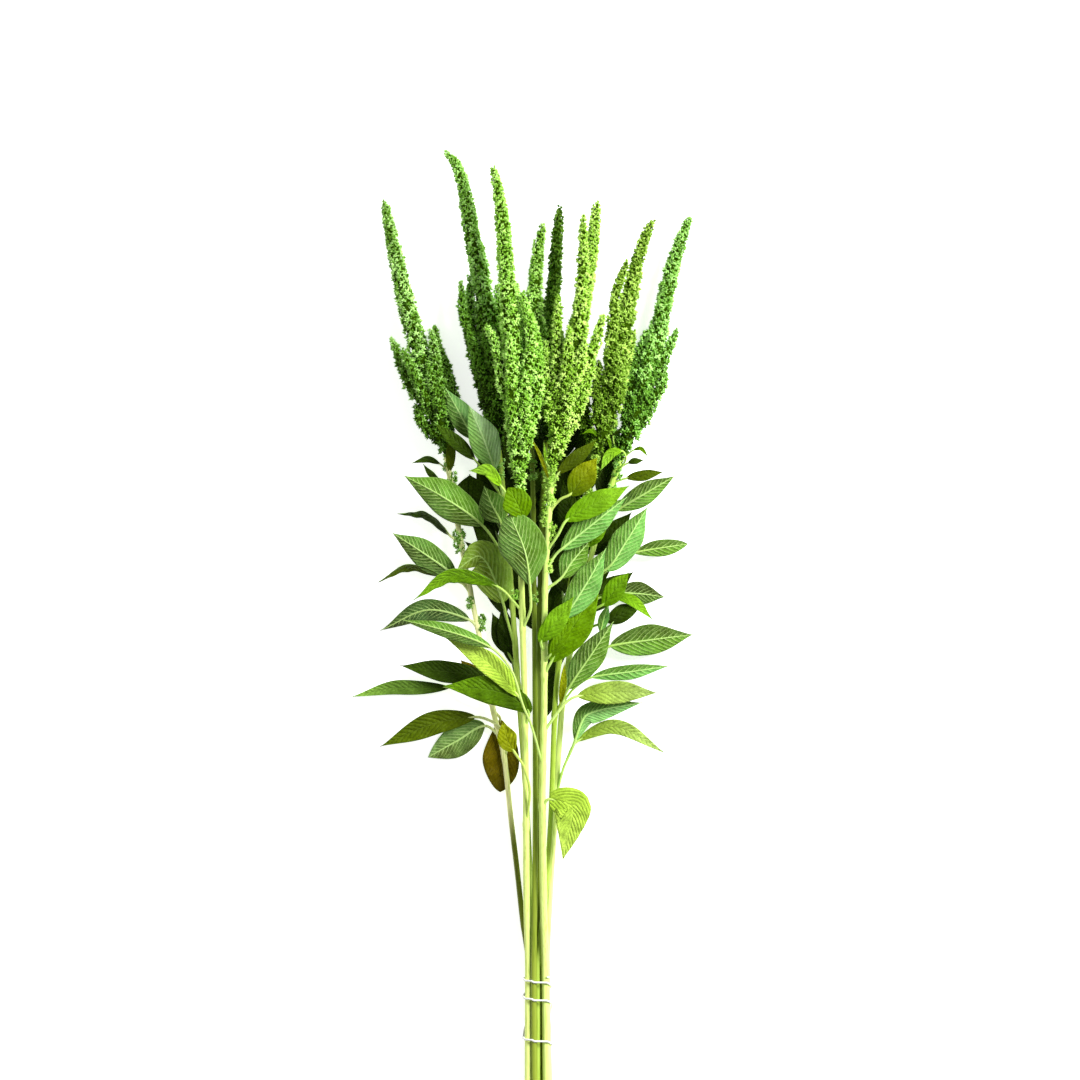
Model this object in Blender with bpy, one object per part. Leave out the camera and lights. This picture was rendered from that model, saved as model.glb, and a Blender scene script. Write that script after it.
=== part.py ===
"""Tied bunch of upright amaranth, laid on its back.

Eight leafy stalks, each ending in a long bumpy seed head with upright side spikes, are held near
their cut ends by one white elastic band. The tips point along +Y and the bunch lies on Z = 0.
"""

import math

import bmesh
import bpy
from mathutils import Vector

# Driving dimensions, in millimetres
BUNCH_LENGTH = 800.0
STEM_SIDES = 6
STEM_RING_STEP = 60.0
HEAD_SIDES = 8
HEAD_RING_STEP = 10.5
SIDE_SPIKE_SIDES = 5
SIDE_SPIKE_RING_STEP = 11.0
SIDE_SPIKE_RADIUS = 4.7
FLORET_RELIEF = 0.20
HEAD_GAP = 0.3
BLADE_THICKNESS = 0.75
PETIOLE_RADIUS = 1.0
PETIOLE_THICKNESS = 1.6
LEAF_CHANNEL = 0.16
BAND_RADIUS = 0.85
BAND_SIDES = 6
BAND_CLEARANCE = 0.4

# The photograph's frame: its pixels are named values here, turned into millimetres by place()
PHOTO_LENGTH_PX = 953.0
PHOTO_CENTRE_PX = (521.5, 626.5)
MM_PER_PX = BUNCH_LENGTH / PHOTO_LENGTH_PX

# Radius of a head from its base (0) to its tip (1), as a share of its greatest radius
HEAD_PROFILE = [(0.0, 0.30), (0.05, 0.62), (0.16, 1.0), (0.40, 0.95), (0.55, 0.82), (0.75, 0.66),
                (0.90, 0.45), (1.0, 0.12)]
SIDE_SPIKE_PROFILE = [(0.0, 0.70), (0.35, 1.0), (0.70, 0.82), (0.90, 0.55), (1.0, 0.20)]
# Width of a leaf blade from its base to its tip, as a share of its greatest width
BLADE_PROFILE = [(0.0, 0.10), (0.18, 0.72), (0.46, 1.0), (0.80, 0.44)]

# Stems: cut end to head base as (pixel x, pixel y, height in mm), then radius at each end in mm
STEMS = {
    1: {"radius": (2.35, 2.1), "route": [
        (527.7, 1103, 4.45), (527.7, 960, 4.45), (523, 925, 4.6), (517, 870, 5.0), (511, 820, 6.0),
        (504, 757, 7.2), (494, 715, 8.4), (480, 640, 10.5), (465, 565, 13), (451, 485, 15.5),
        (446, 455, 16.5)]},
    2: {"radius": (2.6, 2.1), "route": [
        (534, 1098, 4.7), (534, 970, 4.7), (531, 900, 5.2), (526, 800, 8), (519, 700, 12),
        (512, 600, 16), (503, 490, 21.5), (499, 450, 24)]},
    3: {"radius": (2.9, 2.4), "route": [
        (528, 1101, 10.1), (528.2, 970, 10.1), (526.5, 900, 15), (526, 800, 25), (525, 720, 33),
        (522, 600, 45), (520, 510, 54), (520, 490, 56.5)]},
    4: {"radius": (2.3, 2.0), "route": [
        (534.6, 1096, 13.6), (533.2, 970, 13.8), (534, 900, 16.5), (535, 800, 19), (535, 700, 24),
        (533, 500, 33), (532, 440, 36)]},
    5: {"radius": (2.4, 2.0), "route": [
        (541, 1103, 4.5), (540.5, 970, 4.5), (540, 900, 4.7), (539, 800, 5.5), (538, 700, 7.5),
        (540, 600, 10), (543, 500, 13), (546, 440, 15)]},
    6: {"radius": (3.5, 2.8), "route": [
        (547, 1100, 11.4), (545.4, 970, 11.6), (544.4, 935, 15.5), (543.5, 900, 19.5),
        (542.5, 804, 28.5), (544, 720, 36), (545, 590, 47.5), (550, 500, 55.5), (552, 470, 58)]},
    7: {"radius": (2.45, 2.1), "route": [
        (537.4, 1099, 9.3), (537.4, 970, 9.3), (541, 935, 9.6), (545, 900, 10.8),
        (551, 820, 15), (555.5, 700, 22), (568, 600, 29), (586, 500, 37.5), (596, 455, 42)]},
    8: {"radius": (2.7, 2.1), "route": [
        (550, 1102, 4.8), (547, 970, 4.8), (550, 900, 5.0), (555, 820, 6.2), (562, 710, 8.5),
        (583, 590, 12), (597, 535, 14.5), (610, 490, 17), (620, 460, 18)]},
}

# Heads: route from base to tip, greatest radius, and side spikes from their roots to their tips
HEADS = {
    1: {"radius": 8.6, "route": [
        (446, 455, 16.5), (441, 430, 17.5), (432, 395, 18), (422, 358, 18), (412, 325, 18),
        (402, 285, 17), (392, 240, 15), (384, 200, 13)],
        "spikes": [
        [(434, 415, 18), (415, 393, 17), (391, 338, 14)],
        [(436, 425, 18), (427, 400, 26), (402, 349, 28)],
        [(440, 430, 18), (440, 400, 24), (431, 330, 27)],
        [(438, 425, 18), (444, 390, 11), (434, 325, 8)],
        [(444, 445, 17), (454, 408, 12), (450, 380, 10), (443, 353, 9)],
        [(442, 440, 17), (440, 415, 28), (427, 362, 29)],
        [(444, 448, 17), (434, 434, 21), (421, 421, 21), (416, 404, 20)],
        [(440, 430, 18), (436, 400, 6.6), (422, 350, 2.5)]]},
    2: {"radius": 8.8, "route": [
        (499, 450, 24), (495, 420, 25), (490, 350, 27), (484, 300, 28), (478, 262, 29),
        (472, 235, 29), (467, 205, 29), (462, 180, 29), (455, 162, 28), (445, 152, 27)],
        "spikes": [
        [(493, 405, 25), (481, 360, 28), (463, 310, 29), (461, 282, 28)],
        [(494, 415, 25), (484, 380, 36), (468, 330, 38)],
        [(496, 430, 25), (483, 390, 28), (471, 345, 28), (464, 315, 28)],
        [(496, 425, 25), (494, 390, 15), (484, 330, 13)],
        [(496, 430, 25), (485, 400, 18), (476, 350, 16)],
        [(495, 425, 25), (496, 390, 36), (484, 330, 38)]]},
    3: {"radius": 8.6, "route": [
        (520, 490, 56.5), (519, 450, 60), (516, 400, 62), (513, 350, 63), (510, 310, 63),
        (507, 280, 62), (504, 240, 61), (500, 200, 59), (493, 168, 57)],
        "spikes": [
        [(517, 430, 61), (504, 385, 64), (495, 343, 64), (486, 326, 63)],
        [(518, 440, 61), (513, 400, 71), (509, 336, 73)],
        [(518, 435, 61), (524, 395, 70), (531, 344, 70), (522.6, 293, 67)],
        [(519, 460, 60), (529, 435, 65), (538, 376, 66), (537, 345, 65), (529, 310, 63)],
        [(519, 465, 59), (515, 430, 70), (509, 381, 73)],
        [(519, 470, 59), (526, 440, 69), (525, 392, 74)],
        [(517, 420, 61), (513, 380, 51), (509, 330, 50)]]},
    4: {"radius": 7.6, "route": [
        (532, 440, 36), (533, 380, 38), (534, 330, 39), (535, 290, 40), (537, 262, 40),
        (540, 240, 40), (543, 225, 40)],
        "spikes": [
        [(533, 400, 37), (541, 370, 34), (542, 320, 33)],
        [(533, 400, 37), (524, 370, 36), (524, 325, 35)],
        [(533, 410, 37), (532, 370, 28), (534, 315, 28)]]},
    5: {"radius": 7.2, "route": [
        (546, 440, 15), (548, 400, 16), (550, 350, 17), (552, 310, 18), (555, 270, 18),
        (557, 240, 18), (560, 206, 17)],
        "spikes": [
        [(547, 415, 16), (557, 380, 20), (561, 330, 21)],
        [(547, 415, 16), (539, 385, 14), (541, 335, 13)],
        [(547, 410, 16), (549, 370, 8), (552, 320, 7.5)]]},
    6: {"radius": 8.4, "route": [
        (552, 470, 58), (558, 440, 60), (566, 400, 62), (573, 360, 63), (580, 320, 63),
        (585, 290, 62), (590, 260, 61), (594, 230, 60), (597, 203, 58)],
        "spikes": [
        [(574, 355, 63), (581, 300, 71), (583, 255, 70), (583, 217, 68)],
        [(566, 400, 62), (588, 365, 62), (603, 316, 60)],
        [(568, 390, 62), (579, 370, 71), (584, 341, 72)],
        [(563, 415, 61), (584, 392, 60), (593, 350, 58)],
        [(563, 415, 61), (567, 370, 72), (569, 328, 73)],
        [(560, 430, 60), (573, 420, 66), (585, 395, 66)],
        [(561, 425, 60.5), (569, 400, 71), (573, 373, 74)],
        [(560, 430, 60), (557, 380, 65), (558, 297, 63)],
        [(558, 440, 60), (549, 410, 62), (546, 343, 61)],
        [(563, 415, 61), (572, 380, 51), (580, 330, 50)]]},
    7: {"radius": 8.2, "route": [
        (596, 455, 42), (602, 435, 43), (608, 405, 44), (615, 370, 45), (622, 335, 45),
        (629, 300, 44), (635, 270, 43), (643, 243, 42), (653, 221, 40)],
        "spikes": [
        [(608, 405, 44), (611, 350, 52), (615, 300, 53), (627, 261, 51)],
        [(604, 425, 43), (597, 395, 46), (599, 362, 46)],
        [(608, 410, 44), (617, 385, 53), (616, 350, 54)],
        [(605, 420, 43.5), (618, 400, 48), (623, 370, 50)],
        [(602, 435, 43), (597, 420, 46), (596, 392, 47)],
        [(606, 415, 44), (610, 375, 34), (622, 325, 33)],
        [(606, 415, 44), (622, 375, 39), (634, 330, 38)]]},
    8: {"radius": 8.4, "route": [
        (620, 460, 18), (630, 430, 19), (640, 400, 20), (650, 365, 20), (658, 335, 20),
        (665, 300, 19), (672, 270, 18), (681, 240, 17), (690, 217, 15)],
        "spikes": [
        [(638, 404, 20.7), (659, 366, 21.5), (678, 329, 20)],
        [(634, 421, 19), (652, 401, 22.5), (663, 380, 22.5), (664, 358, 22)],
        [(630, 431, 19), (645, 418, 19), (655, 397, 18)],
        [(636, 412, 19.5), (643, 380, 29), (652, 335, 30)],
        [(638, 405, 20), (648, 370, 6.5), (662, 315, 2.5)],
        [(635, 417, 19.5), (634, 380, 24.5), (647, 330, 25)],
        [(636, 411, 19), (641, 375, 10), (654, 325, 8)]]},
}

# Leaves by stalk: name, pixel y where the petiole leaves the stem, petiole bends, blade points
# from base to tip as (pixel x, pixel y, height in mm), greatest width in mm, and roll in degrees
LEAVES = {
    1: [
        ("left 2", 545, [], [(449, 535, 15), (421, 514, 17), (397, 514, 15)], 14, 78),
        ("left 3", 592, [], [(456, 577, 15), (423, 553, 20), (391.5, 532.5, 21)], 23.5, 0),
        ("left 4", 586, [], [(441, 576, 15), (410, 567, 15), (378, 582.5, 13)], 13, 76),
        ("left 8", 627, [], [(470, 620.5, 13), (431, 610, 17), (380, 630.6, 13)], 18.5, 0),
        ("left 11", 684, [], [(485, 677.6, 12), (440, 671, 15), (399.6, 665.8, 12)], 18.5, 0),
        ("left 12", 705, [(470, 697, 7)], [(450, 688, 5), (400, 688, 4.5), (349.7, 697.5, 4)],
         12.6, 0),
        ("left 14", 757, [(508, 745, 9), (501.5, 729, 12)],
         [(476, 717.3, 14), (441, 722, 14), (379.7, 747, 10)], 20, 0),
        ("left 15", 736, [], [(485.3, 726.5, 6), (456, 742, 4.5), (427.7, 758, 3.5)], 27, 0),
        ("left 16", 712, [], [(499, 722, 5), (499, 755, 3.2), (498, 793, 3)], 25, 0),
        ("left 19", 690, [], [(482, 684, 7), (473, 674, 6), (460, 660, 6)], 12, 0),
        ("upper 4", 483, [], [(449.5, 472, 21), (451, 452, 28), (451.5, 431.7, 32)], 8.4, 0),
        ("upper 5", 472, [], [(440, 464, 18), (427, 459, 19), (412, 463, 18)], 7, 50),
        ("upper 6", 490, [], [(440, 481, 16), (431, 474, 17), (423, 464, 16)], 6, 40),
    ],
    2: [
        ("left 1", 577, [(497.6, 546.7, 22)], [(483, 526, 26), (443, 497, 30), (403.5, 475.5, 28)],
         30, 0),
        ("left 6", 649, [(507, 619, 20)], [(503, 603, 25), (478, 556, 35), (457, 570, 33)],
         33.6, 0),
        ("left 18", 667, [], [(509, 655, 9), (500, 633, 6.5), (492, 613, 6)], 16, 0),
        ("upper 1", 507, [(490, 470, 25)], [(475, 440, 28), (460, 414, 29), (445.4, 388, 27)],
         20, 0),
        ("upper 2", 497, [], [(495, 469, 31), (483, 437, 41), (468.5, 405, 42)], 26, 0),
        ("upper 3", 500, [], [(475, 460, 34), (455, 441, 37), (434.5, 423, 36)], 11.8, 0),
        ("upper 8", 552, [], [(499, 520, 22), (491, 503, 27), (484, 487.6, 28)], 21.8, 0),
    ],
    3: [
        ("left 5", 611, [], [(497.6, 586.5, 48), (456.7, 575, 48), (413.4, 600, 42)], 15, 45),
        ("left 7", 629, [(531, 605, 54)], [(530, 586, 58), (527, 560, 62), (510, 514, 60)], 39, 0),
        ("left 10", 707, [], [(519, 697, 38), (485, 660, 41), (445.5, 637.8, 36)], 18.5, 0),
        ("left 13", 726, [], [(529, 714, 38), (492, 690, 37), (442.4, 685.7, 31)], 23.5, 0),
        ("left 17", 825, [(529.7, 792, 33), (524, 767, 40)],
         [(514, 751, 43), (507, 738, 44), (503, 721, 43)], 16.8, 0),
        ("upper 7", 517, [], [(501.6, 486.5, 53), (485, 470, 50), (469, 471, 46)], 11, 20),
        ("upper 9", 547, [], [(519, 515, 55), (513, 500, 55), (506, 489, 52)], 23.5, 0),
    ],
    4: [
        ("upper 10", 512, [], [(528, 498, 31), (533, 483, 29), (539, 468, 27)], 13.5, 0),
    ],
    5: [
        ("back 1", 640, [], [(534, 625, 6), (520, 600, 5), (508, 575, 4.5)], 18, 0),
        ("back 2", 560, [], [(553, 546, 9), (566, 522, 8), (578, 496, 8)], 20, 0),
        ("back 3", 735, [], [(545, 718, 5), (549, 690, 4), (551, 655, 4)], 16, 0),
    ],
    6: [
        ("left 9", 767, [(531, 724, 45), (523, 705, 47), (513, 673, 48)],
         [(492, 648, 48), (441, 629, 46), (400.6, 619.4, 40)], 12.6, 0),
        ("right 3", 512, [(561, 499, 60)], [(569.5, 495, 62), (583, 477, 64), (597, 458, 60)],
         21.8, 0),
        ("right 4", 551, [(558, 534.7, 57)], [(565.4, 521.4, 60), (597, 503, 61), (629, 486, 54)],
         20, 0),
        ("right 5", 571, [(557, 553, 52)], [(561, 549.6, 54), (594, 523, 54), (627, 497, 48)],
         21.8, 0),
        ("right 6", 642, [(555.4, 623, 48)], [(562, 618, 50), (586, 584, 53), (606, 548, 50)],
         22.7, 0),
        ("right 13", 732, [(556, 714.4, 40), (568.7, 700, 42)],
         [(577, 696, 43), (617, 692, 42), (657.8, 692.7, 36)], 19.3, 0),
        ("right 16", 806, [], [(549, 799, 33), (573, 808, 38), (562.7, 860, 30)], 30, 0),
        ("right 17", 674, [], [(551, 662, 45), (575, 623, 49), (600.6, 583, 46)], 30, 0),
        ("right 23", 662, [], [(550, 655, 50), (561, 638, 54), (572.8, 619, 54)], 11.8, 0),
        ("right 24", 652, [], [(541, 641, 49), (558, 619, 56), (573.6, 598, 56)], 15, 0),
        ("right 19", 590, [], [(561, 575, 50), (572, 563, 49), (584, 551, 46)], 18.5, 0),
        ("upper 12", 488, [], [(558, 474, 62), (578, 457, 61), (597, 440, 58)], 11.8, 0),
    ],
    7: [
        ("right 25", 582, [], [(605, 570, 36), (627, 540, 37), (647.5, 507, 31)], 25, 0),
        ("right 9", 608, [], [(609, 594.6, 36), (630, 600, 39), (652.9, 619.6, 35)], 10, 30),
        ("right 26", 618, [], [(603, 603, 38), (616, 588, 41), (628, 573, 41)], 13.4, 0),
        ("right 11", 716, [], [(568, 689.3, 27), (591, 655, 30), (613.6, 621.4, 28)], 23.5, 0),
        ("right 18", 560, [], [(587.7, 547, 37), (598, 535, 41), (609, 523.4, 42)], 9.2, 0),
        ("right 20", 602, [], [(571, 592, 33), (579, 573, 38), (588, 550, 38)], 11.8, 0),
        ("right 21", 714, [], [(560, 704, 25), (563, 684, 30), (564.5, 662, 31)], 6, 0),
    ],
    8: [
        ("right 1", 483, [], [(626, 478.3, 19), (645, 475, 19), (664, 471.8, 16)], 9.2, 0),
        ("right 2", 522, [], [(616.7, 510.4, 20), (646, 493, 26), (675.6, 475.6, 25)], 18.5, 0),
        ("right 7", 590, [(608, 570, 16)], [(633.6, 553.2, 18), (661, 548, 19), (687.9, 544, 16)],
         14.3, 0),
        ("right 8", 612, [(595, 600, 12)], [(613.6, 593, 11), (640, 594, 10), (665.4, 597.3, 8)],
         20, 0),
        ("right 27", 640, [(590, 628, 7)], [(606, 622, 5), (624, 613, 4), (642, 606, 4)], 15, 0),
        ("right 10", 672, [(588, 656, 13)], [(610, 646.4, 15), (652, 640, 15), (694, 634.8, 11)],
         26, 0),
        ("right 12", 703, [(575, 688, 13)], [(591.3, 677.7, 16), (631, 672, 18), (670.7, 666, 14)],
         12.6, 0),
        ("right 14", 797, [(563.3, 769.4, 14), (573, 747, 20)],
         [(575, 741, 22), (586.8, 715, 26), (643, 702.5, 22)], 18.5, 0),
        ("right 15", 787, [(565, 765, 11), (572, 748, 13)],
         [(577, 742, 14), (611.8, 727, 17), (667, 754.3, 12)], 12.6, 0),
        ("upper 14", 474, [(626, 458, 30)], [(622, 451, 35), (613.7, 452, 38), (600, 470.6, 35)],
         8.4, 0),
        ("upper 15", 472, [], [(628, 463, 20), (635, 461, 21), (643.5, 460.3, 20)], 6, 30),
    ],
}

# Band: front crossings from the lowest up, as pixel y at the right edge and at the left edge,
# and the angles of its rings round the bundle, where 90 degrees faces up and 270 lies flat
BAND_CROSSINGS_PX = [(1045, 1039), (1004, 998), (986, 980)]
BAND_START_PX = 1046
BAND_END_PX = 978
BAND_FRONT_ANGLES = [20, 40, 60, 80, 100, 120, 140, 160]
BAND_BACK_ANGLES = [180, 205, 230, 250, 269.5, 270.5, 290, 315, 338, 360]
BAND_FIRST_BACK_RING = 3
BAND_LAST_FRONT_RINGS = 4
TIE_SHARE = 0.05


def place(point):
    """Turn (pixel x, pixel y, height in mm) into a point in millimetres."""
    across = (point[0] - PHOTO_CENTRE_PX[0]) * MM_PER_PX
    along = (PHOTO_CENTRE_PX[1] - point[1]) * MM_PER_PX
    return Vector((across, along, point[2]))


class Route:
    """Smooth curve through points that never swings past them."""

    def __init__(self, points):
        self.points = points
        self.stops = [0.0]
        for start, end in zip(points, points[1:]):
            self.stops.append(self.stops[-1] + (end - start).length)
        self.length = self.stops[-1]
        steps = [(end - start) / (b - a) for start, end, a, b in
                 zip(points, points[1:], self.stops, self.stops[1:])]
        self.slopes = [steps[0]]
        for before, after in zip(steps, steps[1:]):
            self.slopes.append(Vector([
                0.0 if u * v <= 0.0 else 2.0 * u * v / (u + v) for u, v in zip(before, after)]))
        self.slopes.append(steps[-1])

    def at(self, distance):
        distance = min(max(distance, 0.0), self.length)
        index = 0
        while index < len(self.points) - 2 and distance > self.stops[index + 1]:
            index += 1
        span = self.stops[index + 1] - self.stops[index]
        t = (distance - self.stops[index]) / span
        start, end = self.points[index], self.points[index + 1]
        pull_start, pull_end = self.slopes[index] * span, self.slopes[index + 1] * span
        return ((2 * t**3 - 3 * t**2 + 1) * start + (t**3 - 2 * t**2 + t) * pull_start
                + (3 * t**2 - 2 * t**3) * end + (t**3 - t**2) * pull_end)

    def heading(self, distance):
        return (self.at(distance + 0.5) - self.at(distance - 0.5)).normalized()

    def at_photo_height(self, pixel_y):
        """Distance along the route at which it passes a height in the photograph."""
        wanted = place((0, pixel_y, 0)).y
        low, high = 0.0, self.length
        for _ in range(30):
            middle = (low + high) / 2
            if self.at(middle).y < wanted:
                low = middle
            else:
                high = middle
        return low


def profile(table, share):
    """Read a value from a table of (share, value), in straight lines."""
    for (a, low), (b, high) in zip(table, table[1:]):
        if share <= b:
            return low + (high - low) * (share - a) / (b - a)
    return table[-1][1]


def stem_route(number):
    return Route([place(point) for point in STEMS[number]["route"]])


def stem_radius(number, share):
    low, high = STEMS[number]["radius"]
    return low + (high - low) * share


def add_ring(bm, centre, side, up, radii, first):
    step = 2 * math.pi / len(radii)
    return [bm.verts.new(centre + radius * (math.cos((j + first) * step) * side
                                            + math.sin((j + first) * step) * up))
            for j, radius in enumerate(radii)]


def tube(rings, reference, relief=0.0, first=0.0):
    """Closed tube through (centre, heading, radius) rings, with staggered bumps for florets."""
    bm = bmesh.new()
    loops = []
    last = len(rings) - 1
    for k, (centre, heading, radius, sides) in enumerate(rings):
        side = heading.cross(reference).normalized()
        up = side.cross(heading).normalized()
        bump = 0.0 if k in (0, last) else relief
        radii = [radius * (1 + bump * (1 if (j + k) % 2 == 0 else -1)) for j in range(sides)]
        loops.append(add_ring(bm, centre, side, up, radii, first))
    for k, (low, high) in enumerate(zip(loops, loops[1:])):
        count = len(low)
        for j in range(count):
            after = (j + 1) % count
            if (j + k) % 2 == 0:
                bm.faces.new((low[j], low[after], high[j]))
                bm.faces.new((low[after], high[after], high[j]))
            else:
                bm.faces.new((low[j], low[after], high[after]))
                bm.faces.new((low[j], high[after], high[j]))
    bm.faces.new(reversed(loops[0]))
    bm.faces.new(loops[-1])
    return finish_mesh(bm)


def finish_mesh(bm):
    bmesh.ops.recalc_face_normals(bm, faces=bm.faces)
    bmesh.ops.scale(bm, vec=(0.001, 0.001, 0.001), verts=bm.verts)
    mesh = bpy.data.meshes.new("piece")
    bm.to_mesh(mesh)
    bm.free()
    return mesh


def stem_mesh(number):
    route = stem_route(number)
    distances = [0.0]
    for low, high in zip(route.stops, route.stops[1:]):
        count = max(1, round((high - low) / STEM_RING_STEP))
        distances += [low + (high - low) * (k + 1) / count for k in range(count)]
    rings = [(route.at(distance), route.heading(distance),
              stem_radius(number, distance / route.length), STEM_SIDES) for distance in distances]
    return tube(rings, Vector((0, 0, 1)))


def spike_rings(points, radius, table, sides, step):
    route = Route(points)
    count = max(4, round(route.length / step))
    rings = []
    for k in range(count + 1):
        distance = route.length * k / count
        width = radius * profile(table, k / count)
        rings.append((route.at(distance), route.heading(distance), width, sides))
    return rings


def head_meshes(number):
    """Main spike, which starts face to face with its stem's end, and its side spikes."""
    head = HEADS[number]
    upward = Vector((0, 0, 1))
    points = [place(point) for point in head["route"]]
    rings = spike_rings(points, head["radius"], HEAD_PROFILE, HEAD_SIDES, HEAD_RING_STEP)
    stem = stem_route(number)
    facing = stem.heading(stem.length)
    rings[0] = (points[0] + HEAD_GAP * facing, facing, rings[0][2], HEAD_SIDES)
    meshes = [tube(rings, upward, FLORET_RELIEF)]
    for spike in head["spikes"]:
        points = [place(point) for point in spike]
        rings = spike_rings(points, SIDE_SPIKE_RADIUS, SIDE_SPIKE_PROFILE, SIDE_SPIKE_SIDES,
                            SIDE_SPIKE_RING_STEP)
        meshes.append(tube(rings, upward, FLORET_RELIEF))
    return meshes


def leaf_sections(number, leaf):
    """Centre, across and normal of a leaf's cross sections, with their half width and thickness."""
    name, root_px, petiole, blade, width, roll = leaf
    stem = stem_route(number)
    root = stem.at(stem.at_photo_height(root_px))
    points = [root] + [place(point) for point in petiole + blade]
    route = Route(points)
    base = route.stops[len(petiole) + 1]
    stops = [(0.0, PETIOLE_RADIUS)]
    stops += [(route.stops[k + 1], PETIOLE_RADIUS) for k in range(len(petiole))]
    for share, wide in BLADE_PROFILE:
        half = max(width / 2 * wide, PETIOLE_RADIUS)
        stops.append((base + (route.length - base) * share, half))
    sections = []
    turn = math.radians(roll)
    for distance, half in stops:
        heading = route.heading(distance)
        across = heading.cross(Vector((0, 0, 1))).normalized()
        normal = across.cross(heading).normalized()
        rolled = math.cos(turn) * across + math.sin(turn) * normal
        facing = math.cos(turn) * normal - math.sin(turn) * across
        thick = PETIOLE_THICKNESS if half <= PETIOLE_RADIUS else BLADE_THICKNESS
        lift = 0.0 if half <= PETIOLE_RADIUS else LEAF_CHANNEL * half
        sections.append((route.at(distance), rolled, facing, half, thick, lift))
    return sections, route.at(route.length)


def leaf_mesh(number, leaf):
    """Petiole and blade in one closed strip, split into triangles alike on both faces."""
    sections, tip = leaf_sections(number, leaf)
    bm = bmesh.new()
    loops = []
    for centre, across, facing, half, thick, lift in sections:
        above = facing * thick / 2
        left = centre - across * half + facing * lift
        right = centre + across * half + facing * lift
        corners = (left + above, centre + above, right + above,
                   right - above, centre - above, left - above)
        loops.append([bm.verts.new(corner) for corner in corners])
    for low, high in zip(loops, loops[1:]):
        for j in range(6):
            after = (j + 1) % 6
            if j in (0, 3):
                bm.faces.new((low[j], low[after], high[after]))
                bm.faces.new((low[j], high[after], high[j]))
            else:
                bm.faces.new((low[j], low[after], high[j]))
                bm.faces.new((low[after], high[after], high[j]))
    bm.faces.new(reversed(loops[0]))
    end = bm.verts.new(tip)
    for j in range(6):
        bm.faces.new((loops[-1][j], loops[-1][(j + 1) % 6], end))
    return finish_mesh(bm)


def band_point(angle, pixel_y):
    """Centre of the band where it runs round the bundle, clear of the stems by its own gap."""
    along = place((0, pixel_y, 0)).y
    outward = Vector((math.cos(angle), 0, math.sin(angle)))
    best = None
    for number in STEMS:
        route = stem_route(number)
        centre = route.at(route.at_photo_height(pixel_y))
        reach = stem_radius(number, TIE_SHARE) + BAND_CLEARANCE + BAND_RADIUS
        support = centre.dot(outward) + reach
        if best is None or support > best[0]:
            best = (support, Vector((centre.x, along, centre.z)) + reach * outward)
    return best[1]


def band_mesh():
    """One elastic wound upwards round the stems, straight where it lies on the surface."""
    front, back = BAND_FRONT_ANGLES, BAND_BACK_ANGLES
    stops = [(angle - 360, BAND_START_PX) for angle in back[BAND_FIRST_BACK_RING:]]
    for turn, (right, left) in enumerate(BAND_CROSSINGS_PX):
        after = BAND_CROSSINGS_PX[turn + 1][0] if turn + 1 < len(BAND_CROSSINGS_PX) else BAND_END_PX
        for angle in front:
            share = (angle - front[0]) / (front[-1] - front[0])
            stops.append((angle + 360 * turn, right + (left - right) * share))
        for angle in back:
            share = (angle - back[0]) / (back[-1] - back[0])
            stops.append((angle + 360 * turn, left + (after - left) * share))
    for angle in front[:BAND_LAST_FRONT_RINGS]:
        stops.append((angle + 360 * len(BAND_CROSSINGS_PX), BAND_END_PX))
    centres = [band_point(math.radians(angle), pixel_y) for angle, pixel_y in stops]
    rings = []
    for k, centre in enumerate(centres):
        before = centres[max(k - 1, 0)]
        following = centres[min(k + 1, len(centres) - 1)]
        heading = (following - before).normalized()
        rings.append((centre, heading, BAND_RADIUS / math.cos(math.pi / BAND_SIDES), BAND_SIDES))
    return tube(rings, Vector((0, 1, 0)), first=0.5)


def material(name, colour, roughness):
    made = bpy.data.materials.new(name)
    made.use_nodes = True
    shader = made.node_tree.nodes["Principled BSDF"]
    shader.inputs["Base Color"].default_value = (*colour, 1.0)
    shader.inputs["Roughness"].default_value = roughness
    return made


def fuse(name, meshes, finish):
    """One named object, its pieces joined by a single union on a collection."""
    body = bpy.data.objects.new(name, meshes[0])
    bpy.context.scene.collection.objects.link(body)
    body.data.materials.append(finish)
    if len(meshes) > 1:
        group = bpy.data.collections.new(name + "_pieces")
        bpy.context.scene.collection.children.link(group)
        for mesh in meshes[1:]:
            mesh.materials.append(finish)
            group.objects.link(bpy.data.objects.new(name + "_piece", mesh))
        union = body.modifiers.new("union", "BOOLEAN")
        union.operation = "UNION"
        union.operand_type = "COLLECTION"
        union.collection = group
        union.solver = "MANIFOLD"
        bpy.context.view_layer.objects.active = body
        bpy.ops.object.modifier_apply(modifier=union.name)
        for piece in list(group.objects):
            bpy.data.objects.remove(piece)
        bpy.data.collections.remove(group)
        keep_outer_body(body.data)
    return body


def keep_outer_body(mesh):
    """Fill the small pockets that fusing closed off, and drop loose scraps."""
    bm = bmesh.new()
    bm.from_mesh(mesh)
    unseen = set(bm.verts)
    bodies = []
    while unseen:
        body = set()
        edge_of_body = [unseen.pop()]
        while edge_of_body:
            vert = edge_of_body.pop()
            body.add(vert)
            for edge in vert.link_edges:
                other = edge.other_vert(vert)
                if other in unseen:
                    unseen.remove(other)
                    edge_of_body.append(other)
        bodies.append(body)
    bodies.sort(key=len)
    scraps = [vert for body in bodies[:-1] for vert in body]
    bmesh.ops.delete(bm, geom=scraps, context="VERTS")
    bm.to_mesh(mesh)
    bm.free()


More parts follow.
